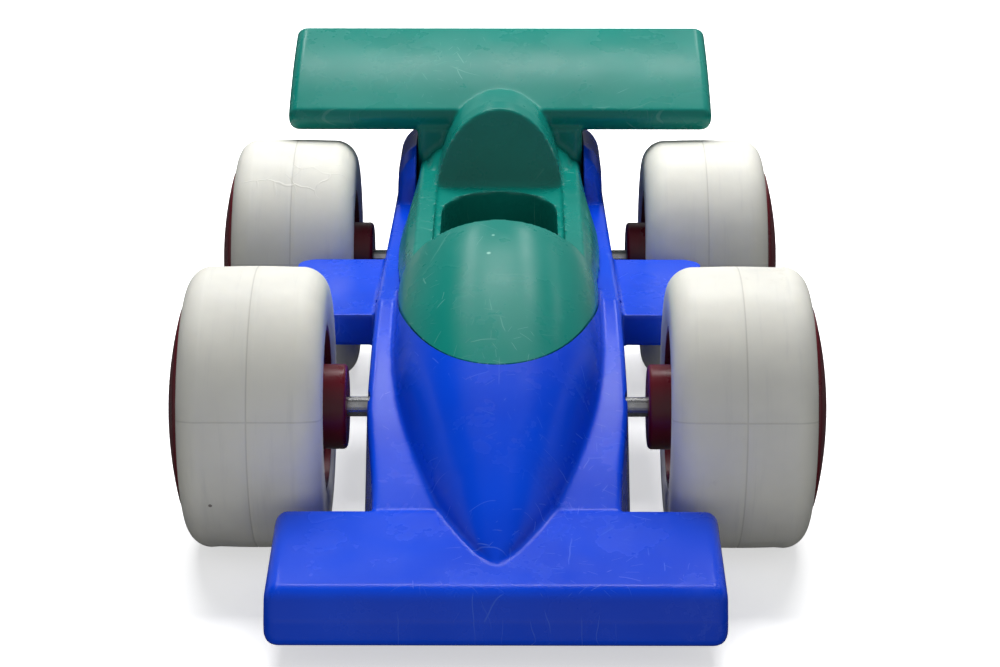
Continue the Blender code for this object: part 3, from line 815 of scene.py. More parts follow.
@dataclass(frozen=True)
class TyrePlastic:
    """A soft ivory plastic with grey rubbing, dirt specks, creases and moulding seams.

    Attributes:
        name: the material's name.
        colour: the clean ivory.
        grey: the colour of rubbed-in dirt.
        middle: distance of the tread's middle from the car's middle.
        creases: how strongly folded creases show.
    """

    name: str
    colour: Colour
    grey: Colour
    middle: float
    creases: float = 0.0

    def build(self) -> bpy.types.Material:
        """Makes the material.

        Returns:
            The finished material.
        """
        net = Net(self.name)
        cloud = net.band(net.noise(26.0, 4.0, 0.6), 0.35, 0.72)
        base = net.blend(net.math("MULTIPLY", cloud, 0.30), self.colour, self.grey)
        drag = net.noise(1.0, 6.0, 0.62, net.stretch(net.place, (420.0, 34.0, 34.0)))
        streaks = net.band(drag, 0.52, 0.78)
        base = net.blend(net.math("MULTIPLY", streaks, 0.22), base, self.grey)
        stain = net.band(net.noise(48.0, 6.0, 0.7), 0.60, 0.74)
        base = net.blend(net.math("MULTIPLY", stain, 0.28), base, (0.40, 0.36, 0.30))
        speck = net.add("ShaderNodeTexVoronoi")
        net.feed(speck.inputs["Vector"], net.place)
        speck.inputs["Scale"].default_value = 130.0
        chosen = net.math("LESS_THAN", net.axis(speck.outputs["Color"], 0), 0.10)
        size = net.math("MULTIPLY", net.axis(speck.outputs["Color"], 1), 0.085)
        dots = net.math("MULTIPLY", net.math("LESS_THAN", speck.outputs["Distance"], size), chosen)
        base = net.blend(net.math("MULTIPLY", dots, 0.75), base, (0.09, 0.06, 0.05))
        sideways = net.math("ABSOLUTE", net.axis(net.place, 0))
        across = net.math("ABSOLUTE", net.math("SUBTRACT", sideways, self.middle))
        ring = net.band(across, 0.06 * MM, 0.28 * MM, 1.0, 0.0)
        tipped = net.math("MULTIPLY", net.axis(net.place, 1), 0.24)
        upright = net.math("ABSOLUTE", net.math("ADD", net.axis(net.place, 2), tipped))
        cross = net.band(upright, 0.08 * MM, 0.30 * MM, 1.0, 0.0)
        seam = net.math("MAXIMUM", ring, net.math("MULTIPLY", cross, 0.8))
        base = net.blend(net.math("MULTIPLY", seam, 0.32), base, (0.33, 0.31, 0.29))
        net.feed(net.shader.inputs["Base Color"], base)
        net.feed(net.shader.inputs["Roughness"], net.band(net.noise(60.0, 5.0), 0.3, 0.7, 0.36, 0.56))
        net.shader.inputs["Specular IOR Level"].default_value = 0.42
        net.shader.inputs["Subsurface Weight"].default_value = 0.08
        net.shader.inputs["Subsurface Radius"].default_value = (2.2 * MM, 1.8 * MM, 1.2 * MM)
        net.shader.inputs["Subsurface Scale"].default_value = 1.0
        net.bump(net.noise(70.0, 2.0), 0.45, 0.4 * MM)
        net.bump(seam, 0.6, 0.10 * MM)
        if self.creases:
            folds = net.add("ShaderNodeTexVoronoi", feature="DISTANCE_TO_EDGE")
            wobble = net.vector("MULTIPLY", net.add_noise_vector(60.0), (0.016, 0.016, 0.016))
            bent = net.vector("ADD", net.place, wobble)
            net.feed(folds.inputs["Vector"], bent)
            folds.inputs["Scale"].default_value = 120.0
            thin = net.band(folds.outputs["Distance"], 0.0, 0.035, 1.0, 0.0)
            patch = net.band(net.noise(40.0, 2.0), 0.50, 0.60)
            net.bump(net.math("MULTIPLY", thin, patch), self.creases, 0.20 * MM)
        net.bump(net.noise(700.0, 4.0), 0.35, 0.04 * MM)
        return net.material


@dataclass(frozen=True)
class WheelPlastic:
    """The dark red plastic of the hubs and caps.

    Attributes:
        name: the material's name.
        colour: its colour.
        scuff: the colour of scuffs.
    """

    name: str
    colour: Colour
    scuff: Colour

    def build(self) -> bpy.types.Material:
        """Makes the material.

        Returns:
            The finished material.
        """
        net = Net(self.name)
        cloud = net.band(net.noise(60.0, 4.0), 0.35, 0.70)
        base = net.blend(net.math("MULTIPLY", cloud, 0.25), self.colour, self.scuff)
        marks = net.band(net.noise(1.0, 5.0, 0.6, net.stretch(net.place, (900.0, 90.0, 90.0))), 0.60, 0.76)
        base = net.blend(net.math("MULTIPLY", marks, 0.30), base, self.scuff)
        net.feed(net.shader.inputs["Base Color"], base)
        net.feed(net.shader.inputs["Roughness"], net.band(net.noise(120.0, 5.0), 0.3, 0.7, 0.24, 0.42))
        net.shader.inputs["Specular IOR Level"].default_value = 0.5
        net.bump(net.noise(160.0, 3.0), 0.4, 0.08 * MM)
        net.bump(net.noise(1100.0, 3.0), 0.3, 0.02 * MM)
        return net.material


@dataclass(frozen=True)
class Steel:
    """Drawn or plated steel with fine lines round the rod.

    Attributes:
        name: the material's name.
        colour: its colour.
        tarnish: the colour of its dull patches.
        roughness: the roughness of the clean metal.
    """

    name: str
    colour: Colour
    tarnish: Colour
    roughness: float

    def build(self) -> bpy.types.Material:
        """Makes the material.

        Returns:
            The finished material.
        """
        net = Net(self.name)
        patches = net.band(net.noise(140.0, 5.0, 0.65), 0.45, 0.72)
        base = net.blend(net.math("MULTIPLY", patches, 0.5), self.colour, self.tarnish)
        net.feed(net.shader.inputs["Base Color"], base)
        net.shader.inputs["Metallic"].default_value = 1.0
        drawn = net.noise(1.0, 4.0, 0.6, net.stretch(net.place, (150.0, 2600.0, 2600.0)))
        rough = net.math("ADD", net.math("MULTIPLY", drawn, 0.16), self.roughness - 0.06)
        net.feed(net.shader.inputs["Roughness"], net.math("ADD", rough, net.math("MULTIPLY", patches, 0.14)))
        net.bump(drawn, 0.25, 0.02 * MM)
        return net.material


# ---------------------------------------------------------------- the two mouldings


@dataclass
class LowerBody:
    """The blue moulding: tub, nose, front wing, side pods and engine cover.

    Attributes:
        lines: the car's shared lines.
        finish: its plastic.
        floor_z: height of the tub's lower edge.
        wing_half_width: half the front wing's width.
        wing_low_z: height of the front wing's lower edge.
        pod_front: distance of the pods' front face.
        pod_back: distance of the pods' back face.
        pod_half_width: half the width over the pods.
        pod_top_z: height of the pods' top.
        pod_depth: how deep the pods are.
        cowl_front: distance of the engine cover's front.
        cowl_top_z: height of its top.
        cowl_half_width: half its width.
    """

    lines: CarLines
    finish: BodyPlastic
    floor_z: float = 8.0 * MM
    wing_half_width: float = 52.2 * MM
    wing_low_z: float = 6.0 * MM
    pod_front: float = 38.0 * MM
    pod_back: float = 89.0 * MM
    pod_half_width: float = 56.0 * MM
    pod_top_z: float = 46.8 * MM
    pod_depth: float = 8.6 * MM
    cowl_front: float = 123.0 * MM
    cowl_top_z: float = 68.5 * MM
    cowl_half_width: float = 30.0 * MM

    def build(self) -> bpy.types.Object:
        """Builds the moulding and dresses it.

        Returns:
            The finished piece.
        """
        lines = self.lines
        start = lines.shelf_front[0] - 6 * MM
        body = lines.tub("blue_moulding", 0, start, lines.tail, self.floor_z, 1.6 * MM)
        nose = lines.bullet("nose", 0, lines.tip[0], lines.lip[0], self.floor_z + 6 * MM)
        wing = slab("wing", self.wing_outline(0, self.wing_low_z), self.wing_half_width, 3.0 * MM)
        pods = prism(
            "pods",
            round_plan(self.pod_half_width, lines.at(self.pod_front), lines.at(self.pod_back), 5 * MM),
            self.pod_top_z - self.pod_depth,
            self.pod_top_z,
        )
        combine(body, "UNION", nose, wing, pods, self.cowl())
        slot = prism(
            "slot",
            round_plan(DECK_HALF_WIDTH + GAP, lines.at(105 * MM), lines.at(lines.tail - 3 * MM), 3 * MM),
            lines.shelf_z(self.cowl_front) - 0.5 * MM,
            FAR_ABOVE,
        )
        combine(body, "DIFFERENCE", slot, *self.hollows(), *self.axle_holes())
        mould(body, 2, 0.36)
        seat = prism("seat", lines.tongue(0, 49 * MM), 30 * MM, FAR_ABOVE)
        combine(seat, "DIFFERENCE", lines.tub("shelf", 0, -30 * MM, 70 * MM, FAR_BELOW, 0.5 * MM))
        combine(body, "DIFFERENCE", seat)
        body.data.set_sharp_from_angle(angle=PARTING_ANGLE)
        body.data.materials.clear()
        body.data.materials.append(self.finish.build())
        return body

    def wing_outline(self, inset: float, low_z: float) -> list[Flat]:
        """The front wing's side outline, inset from its skin.

        Args:
            inset: how far inside the skin it lies.
            low_z: height of its lower edge.

        Returns:
            The outline's points.
        """
        back, top = self.lines.shelf_front
        at = self.lines.at
        return [
            (at(back - inset), top - inset),
            (at(-76 * MM + inset), 18.9 * MM - inset),
            (at(-79 * MM + inset), 12.5 * MM - inset),
            (at(-79.8 * MM + inset), low_z),
            (at(back - inset), low_z),
        ]

    def cowl(self) -> bpy.types.Object:
        """The rounded engine cover, with a steep front that leans back.

        Returns:
            The form.
        """
        steps = ((0.0, 0.0), (3.0, 0.55), (7.0, 0.85), (13.0, 1.0), (36.0, 1.0), (40.5, 0.93), (43.0, 0.80))
        base = self.lines.shelf_z(self.cowl_front) - 3 * MM
        rings = []
        for back, rise in steps:
            top = mix(base + 3 * MM, self.cowl_top_z, rise)
            radius = min(9.0 * MM, top - base)
            y = self.lines.at(self.cowl_front + back * MM)
            wide = self.cowl_half_width
            rings.append(flat_top(y, wide, wide + 0.4 * MM, self.floor_z, top, radius))
        return loft("cowl", rings)

    def hollows(self) -> list[bpy.types.Object]:
        """The spaces under the thin walls, all open downwards.

        Returns:
            The forms to cut away.
        """
        lines, at = self.lines, self.lines.at
        pods = []
        near = lines.tub_half_width + WALL
        far = self.pod_half_width - WALL
        for side in Side:
            outline = [
                (side.value * near, at(self.pod_front + WALL)),
                (side.value * far, at(self.pod_front + WALL)),
                (side.value * far, at(self.pod_back - WALL)),
                (side.value * near, at(self.pod_back - WALL)),
            ]
            pods.append(prism("pod_room", outline, FAR_BELOW, self.pod_top_z - WALL))
        wide = COCKPIT_HALF_WIDTH + WALL + 2 * GAP
        bucket = round_plan(wide, at(COCKPIT_FRONT - 2 * GAP), at(BUCKET_BACK + 2 * GAP), 2 * MM)
        return [
            lines.tub("tub_room", WALL, lines.shelf_front[0] + WALL, lines.tail - WALL, FAR_BELOW, 1.0 * MM),
            lines.bullet("nose_room", WALL, -58 * MM, lines.hood_tip - 2 * MM, FAR_BELOW),
            slab("wing_room", self.wing_outline(WALL, FAR_BELOW), self.wing_half_width - WALL),
            *pods,
            prism("bucket_room", bucket, FAR_BELOW, FAR_ABOVE),
        ]

    def axle_holes(self) -> list[bpy.types.Object]:
        """The holes that the two axles run in.

        Returns:
            The rods to cut away.
        """
        holes = []
        for row in Row:
            y, z, reach = self.lines.at(row.value), WHEEL_RADIUS, 40 * MM
            holes.append(rod("axle_hole", AXLE_HOLE_RADIUS, (-reach, y, z), (reach, y, z)))
        return holes


@dataclass
class UpperBody:
    """The green moulding: hood, cockpit, headrest and rear wing.

    Attributes:
        lines: the car's shared lines.
        finish: its plastic.
        rail_front_z: height of the cockpit rails at the hood.
        rail_back_z: height of the rails at the rear.
        rail_half_width: half the width over the rails' tops.
        deck_back: distance where the deck ends.
        deck_half_width: half the deck's width at its back.
        cockpit_half_width: half the cockpit's width.
        cockpit_floor_z: height of the cockpit's floor.
        ledge_drop: how far the ledge round the cockpit lies below the rails at the hood.
        ledge_back: distance and height of the ledge's back end, at the headrest.
        opening_half_width: half the width of the hole between the ledges.
        opening_depth: how far the hole's rounded back runs along the car.
        niche_back: distance of the hole's back.
        headrest: distance of the headrest's base.
        headrest_top_z: height of its top.
        wing_front: distance and height of the rear wing's lower front edge.
        wing_half_width: half the rear wing's width.
        wing_chord: the rear wing's length from front to back.
        wing_depth: its thickness at the front.
        wing_tilt: how far it tips forward.
    """

    lines: CarLines
    finish: BodyPlastic
    rail_front_z: float = 59.5 * MM
    rail_back_z: float = 64.6 * MM
    rail_half_width: float = 23.2 * MM
    deck_back: float = 137.0 * MM
    deck_half_width: float = DECK_HALF_WIDTH
    cockpit_half_width: float = COCKPIT_HALF_WIDTH
    cockpit_floor_z: float = 36.0 * MM
    ledge_drop: float = 2.6 * MM
    ledge_back: Flat = (109.0 * MM, 62.0 * MM)
    opening_half_width: float = 16.0 * MM
    opening_depth: float = 17.0 * MM
    niche_back: float = 106.6 * MM
    headrest: float = 108.5 * MM
    headrest_top_z: float = 83.6 * MM
    wing_front: Flat = (135.5 * MM, 71.2 * MM)
    wing_half_width: float = 62.2 * MM
    wing_chord: float = 46.0 * MM
    wing_depth: float = 7.4 * MM
    wing_tilt: float = math.radians(22.8)

    def build(self) -> bpy.types.Object:
        """Builds the moulding and dresses it.

        Returns:
            The finished piece.
        """
        lines, at = self.lines, self.lines.at
        outer = lines.bullet("green_moulding", 0, lines.hood_tip - 6 * MM, lines.lip[0], 30 * MM)
        back_face = at(lines.tail - 3.4 * MM)
        support = prism(
            "support",
            round_plan(self.deck_half_width, at(self.deck_back - 4 * MM), back_face, 2 * MM),
            30 * MM,
            self.wing_front[1] + 6 * MM,
        )
        combine(support, "DIFFERENCE", slab("above", self.above_wing(), 70 * MM))
        deck = self.deck("deck", 0, lines.lip[0] - 8 * MM, self.deck_back)
        combine(outer, "UNION", deck, self.hump("hump", 0), self.shoulder(), support)
        bucket = self.bucket(outer)
        inside = lines.bullet("hood_room", WALL, lines.hood_tip - 3 * MM, lines.lip[0] + 1 * MM, FAR_BELOW)
        combine(inside, "INTERSECT", prism("inside", lines.tongue(WALL), FAR_BELOW, FAR_ABOVE))
        under_hump = self.hump("hump_room", WALL)
        under_hump.data.transform(Matrix.Translation((0, WALL, 0)))
        under_support = prism(
            "support_room",
            round_plan(
                self.deck_half_width - WALL, at(self.deck_back - 4 * MM + WALL), back_face - WALL, 1 * MM
            ),
            FAR_BELOW,
            self.wing_front[1] - 2 * MM,
        )
        deck_room = self.deck("deck_room", WALL, lines.lip[0] - 6 * MM, self.deck_back - 4 * MM, FAR_BELOW)
        combine(outer, "DIFFERENCE", inside, deck_room, under_hump, under_support)
        combine(outer, "UNION", bucket)
        combine(outer, "DIFFERENCE", *self.openings())
        wing = slab("rear_wing", self.wing_outline(), self.wing_half_width, 3.1 * MM)
        combine(wing, "DIFFERENCE", *self.wing_rooms())
        combine(outer, "UNION", wing)
        mould(outer, 2, 0.42)
        side_y = at(lines.hood_side)
        front_y, beyond = at(-40 * MM), 45 * MM
        plan = [(-beyond, front_y), (beyond, front_y), (beyond, side_y), (-beyond, side_y)]
        block = prism("block", plan, 10 * MM, FAR_ABOVE)
        combine(block, "DIFFERENCE", prism("outline", lines.tongue(GAP), FAR_BELOW, FAR_ABOVE))
        combine(outer, "DIFFERENCE", block)
        outer.data.set_sharp_from_angle(angle=PARTING_ANGLE)
        outer.data.materials.clear()
        outer.data.materials.append(self.finish.build())
        return outer

    def deck(
        self, name: str, inset: float, start: float, end: float, low_z: float = 30 * MM
    ) -> bpy.types.Object:
        """The deck beside the cockpit, with flat rails and sides that lean in.

        Args:
            name: the object's name.
            inset: how far inside the outer skin it lies.
            start: distance of its front end.
            end: distance of its back end.
            low_z: height of its foot.

        Returns:
            The new form.
        """
        rings = []
        for i in range(13):
            distance = mix(start, end, i / 12)
            t = (distance - self.lines.lip[0]) / (self.deck_back - self.lines.lip[0])
            top = mix(self.rail_front_z, self.rail_back_z, t) - inset
            swell = 2.8 * MM * math.sin(math.pi * min(max(t / 0.86, 0.0), 1.0))
            low = mix(self.lines.hood_half_width, self.deck_half_width, max(t, 0.0)) + swell - inset
            high = self.rail_half_width - inset
            base = self.lines.shelf_z(distance) - 1 * MM
            flank = (mix(low, high, 0.6), mix(base, top, 0.7))
            edge = 0.8 * MM
            half = [(low, low_z), (low, base), flank, (high, top - edge), (high - edge, top)]
            ring = half + [(-x, z) for x, z in reversed(half)]
            rings.append([(x, self.lines.at(distance), z) for x, z in ring])
        return loft(name, rings)

    def hump(self, name: str, inset: float) -> bpy.types.Object:
        """The headrest: a flat front that leans back, and a top that runs over the rear wing.

        Args:
            name: the object's name.
            inset: how far inside the outer skin it lies.

        Returns:
            The new form.
        """
        base = mix(self.rail_front_z, self.rail_back_z, 0.65) - 3 * MM
        rings = []
        stations = ((0, 1.0, 0), (12, 1.0, 0.9), (26, 0.98, 1.3), (37, 0.88, -1.6), (47, 0.70, -6.0))
        for back, shrink, rise in stations:
            wide = self.cockpit_half_width * shrink - inset
            y = self.lines.at(self.headrest + back * MM)
            ring = arch(y, wide, base, self.headrest_top_z + rise * MM - inset, base - 5 * MM)
            lean = 0.28 if back == 0 else 0.0
            rings.append([(x, y + max(z - base, 0) * lean, z) for x, y, z in ring])
        return loft(name, rings)

    def shoulder(self) -> bpy.types.Object:
        """The low arch behind the headrest, where the rails run up into the support.

        Returns:
            The form.
        """
        rings = []
        for distance, rise in ((122 * MM, 0.3), (128 * MM, 0.85), (self.deck_back - 1 * MM, 1.0)):
            t = (distance - self.lines.lip[0]) / (self.deck_back - self.lines.lip[0])
            base = mix(self.rail_front_z, self.rail_back_z, t) - 0.6 * MM
            top = base + 8.3 * MM * rise
            rings.append(arch(self.lines.at(distance), 21.0 * MM, base, top, base - 1 * MM))
        return loft("shoulder", rings)

    def bucket(self, outer: bpy.types.Object) -> bpy.types.Object:
        """The cockpit's walls and floor, kept inside the outer form.

        Args:
            outer: the outer form.

        Returns:
            The walls and floor.
        """
        at = self.lines.at
        wide = self.cockpit_half_width
        outline = round_plan(wide + WALL, at(COCKPIT_FRONT), at(BUCKET_BACK), 1.6 * MM)
        bucket = prism("bucket", outline, self.cockpit_floor_z - WALL, 83 * MM)
        combine(bucket, "INTERSECT", add_object("outer_copy", outer.data.copy()))
        inner = round_plan(self.opening_half_width, at(COCKPIT_FRONT + WALL), at(91 * MM), 2 * MM)
        return combine(bucket, "DIFFERENCE", prism("inner", inner, self.cockpit_floor_z, FAR_ABOVE))

    def openings(self) -> list[bpy.types.Object]:
        """The ledge round the cockpit, the hole in it, and room for the shelf below.

        Returns:
            The forms to cut away.
        """
        lines, at = self.lines, self.lines.at
        ledge_back, ledge_back_z = self.ledge_back
        ledge_front_z = self.rail_front_z - self.ledge_drop
        ledge = [(at(lines.lip[0] - 0.5 * MM), ledge_front_z), (at(ledge_back), ledge_back_z)]
        ledge += [(y, FAR_ABOVE) for y, _ in reversed(ledge)]
        wide, depth, front = self.opening_half_width, self.opening_depth, at(lines.lip[0] - 0.5 * MM)
        hole = [(-wide, front), (wide, front)]
        steps = 48
        for i in range(steps + 1):
            angle = math.pi * i / steps
            hole.append((wide * math.cos(angle), at(self.niche_back) + depth * (math.sin(angle) - 1)))
        start, end = lines.hood_tip - 12 * MM, lines.tail + 4 * MM
        seat = lines.tub("shelf_room", -GAP, start, end, FAR_BELOW, 0.5 * MM)
        keep = round_plan(self.cockpit_half_width + WALL, at(COCKPIT_FRONT), at(BUCKET_BACK), 1.6 * MM)
        combine(seat, "DIFFERENCE", prism("keep", keep, FAR_BELOW - 5 * MM, FAR_ABOVE))
        return [
            slab("ledge", ledge, self.cockpit_half_width),
            prism("hole", hole, self.cockpit_floor_z, FAR_ABOVE),
            seat,
        ]

    def above_wing(self) -> list[Flat]:
        """The outline of everything above the rear wing's lower skin.

        Returns:
            The outline's points.
        """
        front, low = self.wing_front
        slope = math.tan(self.wing_tilt)
        start, end = self.lines.at(front - 6 * MM), self.lines.at(front + 60 * MM)
        first, last = low + 3 * MM - 6 * MM * slope, low + 3 * MM + 60 * MM * slope
        return [(start, first), (end, last), (end, FAR_ABOVE), (start, FAR_ABOVE)]

    def wing_outline(self, inset: float = 0.0) -> list[Flat]:
        """The rear wing's side outline with an arched top, inset from its skin.

        Args:
            inset: how far inside the skin it lies.

        Returns:
            The outline's points.
        """
        steps = 32
        top = []
        for i in range(steps + 1):
            t = i / steps
            arched = 1.8 * MM * math.sin(math.pi * t)
            top.append((self.wing_chord * t, mix(self.wing_depth, 7.0 * MM, t) + arched))
        points = []
        cos, sin = math.cos(self.wing_tilt), math.sin(self.wing_tilt)
        for along, up in [(0.0, 0.0), *top, (self.wing_chord, 0.0)]:
            along += inset if along < self.wing_chord / 2 else -inset
            if inset:
                up = up - inset if up > 0 else -8 * MM
            y = self.wing_front[0] + along * cos - up * sin
            points.append((self.lines.at(y), self.wing_front[1] + along * sin + up * cos))
        return points

    def wing_rooms(self) -> list[bpy.types.Object]:
        """The spaces under the rear wing, on both sides of its support.

        Returns:
            The forms to cut away.
        """
        near = self.deck_half_width + 1.5 * MM
        far = self.wing_half_width - WALL - 0.2 * MM
        rooms = []
        for side in Side:
            room = slab("wing_room", self.wing_outline(WALL), (far - near) / 2)
            room.data.transform(Matrix.Translation((side.value * (near + far) / 2, 0, 0)))
            rooms.append(room)
        return rooms


# ---------------------------------------------------------------- wheels


def arc(cx: float, cz: float, radius: float, start: float, end: float, steps: int) -> list[Flat]:
    """Points on a round stretch of a turned profile, by angles in degrees."""
    angles = [math.radians(mix(start, end, i / steps)) for i in range(steps + 1)]
    return [(cx + radius * math.cos(angle), cz + radius * math.sin(angle)) for angle in angles]


@dataclass
class Wheel:
    """One wheel: tyre, hub and cap, turned about the axle.

    Attributes:
        row: which axle it is on.
        side: which end of the axle it is on.
        centre: the axle's middle.
        radius: the wheel's radius.
        inner: distance of the tyre's inner face from the car's middle.
        outer: distance of its outer face.
        bore: the radius inside the tyre.
        cap_radius: the cap's radius.
        steps: how many steps each piece is turned in.
    """

    row: Row
    side: Side
    centre: Vector
    radius: float = WHEEL_RADIUS
    inner: float = TYRE_INNER
    outer: float = TYRE_OUTER
    bore: float = 21.0 * MM
    cap_radius: float = 26.0 * MM
    steps: int = 128

    def turn(self, name: str, profile: list[Flat], closed: bool) -> bpy.types.Object:
        """Turns a profile about the axle.

        Args:
            name: the piece's name.
            profile: its (radius, distance from the car's middle) points.
            closed: whether the profile is a loop, and not open on the axis.

        Returns:
            The new piece, with its mesh about the axle.
        """
        bm = bmesh.new()
        rows: list[list[bmesh.types.BMVert]] = []
        for radius, height in profile:
            if radius < 1e-7:
                rows.append([bm.verts.new((self.side.value * height, 0, 0))])
                continue
            ring = []
            for i in range(self.steps):
                angle = math.tau * i / self.steps
                y, z = radius * math.cos(angle), radius * math.sin(angle)
                ring.append(bm.verts.new((self.side.value * height, y, z)))
            rows.append(ring)
        pairs = list(zip(rows, rows[1:]))
        if closed:
            pairs.append((rows[-1], rows[0]))
        for near, far in pairs:
            for i in range(self.steps):
                j = (i + 1) % self.steps
                corners = [near[i % len(near)], near[j % len(near)], far[j % len(far)], far[i % len(far)]]
                bm.faces.new(list(dict.fromkeys(corners)))
        piece = finish_mesh(bm, name)
        piece.location = self.centre
        piece.data.shade_smooth()
        piece.data.set_sharp_from_angle(angle=math.radians(38))
        return piece

    def tyre(self) -> list[Flat]:
        """A broad crowned tread with soft shoulders and a rolled seam at its middle.

        Returns:
            The closed (radius, distance) profile.
        """
        r, inner, outer, wall = self.radius, self.inner, self.outer, 3.2 * MM
        middle = (inner + outer) / 2
        points = [(self.bore, outer), (r - 8.0 * MM, outer)]
        points += arc(r - 6.0 * MM, outer - 6.0 * MM, 6.0 * MM, 90, 4, 16)
        crown = 0.25 * MM
        for i in range(1, 12):
            t = i / 12
            height = mix(outer - 6.0 * MM, inner + 6.6 * MM, t)
            lift = crown * math.sin(math.pi * t) - crown
            points.append((r + lift, height))
            if i == 6:
                points[-1] = (r, middle + 0.22 * MM)
                points += [(r - 0.10 * MM, middle), (r, middle - 0.22 * MM)]
        points += arc(r - 6.8 * MM, inner + 6.6 * MM, 6.6 * MM, -4, -90, 16)
        points += [(self.bore + 1.2 * MM, inner), (self.bore, inner + 0.8 * MM), (self.bore, inner + wall)]
        under = r - wall
        points += [(under - 2.5 * MM, inner + wall), (under, inner + wall + 2.5 * MM)]
        points += [(under, outer - wall - 2.5 * MM), (under - 2.5 * MM, outer - wall)]
        points.append((self.bore, outer - wall))
        return points

    def hub(self) -> list[Flat]:
        """A barrel in the tyre, a web, and a rounded boss that stands inwards.

        Returns:
            The closed (radius, distance) profile.
        """
        inner, outer = self.inner, self.outer
        barrel, bore, web = self.bore - GAP, 2.8 * MM, inner + 2.0 * MM
        boss, end = 10.6 * MM, 37.3 * MM
        points = [(bore + 4 * MM, outer - 4 * MM), (bore + 4 * MM, web + WALL), (barrel - WALL, web + WALL)]
        points += [(barrel - WALL, outer - 5 * MM), (barrel, outer - 5 * MM), (barrel, inner + 1.0 * MM)]
        points += [(barrel - 0.4 * MM, inner + 0.6 * MM), (barrel - 1.6 * MM, inner + 0.6 * MM)]
        points.append((barrel - 1.9 * MM, web))
        points += [(boss + 0.8 * MM, web), (boss + 0.2 * MM, web - 0.3 * MM), (boss, web - 0.9 * MM)]
        points += arc(boss - 1.1 * MM, end + 1.1 * MM, 1.1 * MM, -5, -88, 8)
        points += [(bore + 0.5 * MM, end), (bore, end + 0.5 * MM), (bore, outer - 4 * MM)]
        return points

    def cap(self) -> list[Flat]:
        """A domed cover on the tyre's outer face, with a skirt inside it.

        Returns:
            The (radius, distance) profile, open on the axis.
        """
        rim, rise, lip = self.cap_radius, 3.6 * MM, 1.1 * MM
        sphere = (rim * rim + rise * rise) / (2 * rise)
        points = []
        steps = 28
        for i in range(steps):
            r = (rim - 0.5 * MM) * i / (steps - 1)
            points.append((r, self.outer + lip + math.sqrt(sphere * sphere - r * r) - (sphere - rise)))
        skirt = self.bore - GAP
        points += [(rim - 0.1 * MM, self.outer + lip - 0.1 * MM), (rim, self.outer + lip - 0.4 * MM)]
        points += [(rim, self.outer + GAP), (skirt, self.outer + GAP), (skirt, self.outer - 4.4 * MM)]
        points += [(skirt - 2 * MM, self.outer - 4.4 * MM), (skirt - 2 * MM, self.outer - 2.2 * MM)]
        points.append((0.0, self.outer - 2.2 * MM))
        return points

    def build(self, tyre_finish: bpy.types.Material, red: bpy.types.Material) -> None:
        """Builds the three pieces, dresses them and sets them in place of their CAD nodes.

        Args:
            tyre_finish: the tyre's material.
            red: the hub's and cap's material.
        """
        row, word = self.row.name.lower(), self.side.name.lower()
        body = f"{row}_wheelset"
        kinds = (
            ("tyre", self.tyre(), True, tyre_finish, "ivory_tyre"),
            ("hub", self.hub(), True, red, "red_wheel"),
            ("hub_cap", self.cap(), False, red, "red_wheel"),
        )
        for kind, profile, closed, material, slot in kinds:
            piece = self.turn(f"{kind}_{row}_{word}", profile, closed)
            piece.data.materials.append(material)
            install(piece, body, slot, f"{row}_{word}_{kind}")


# ---------------------------------------------------------------- studio


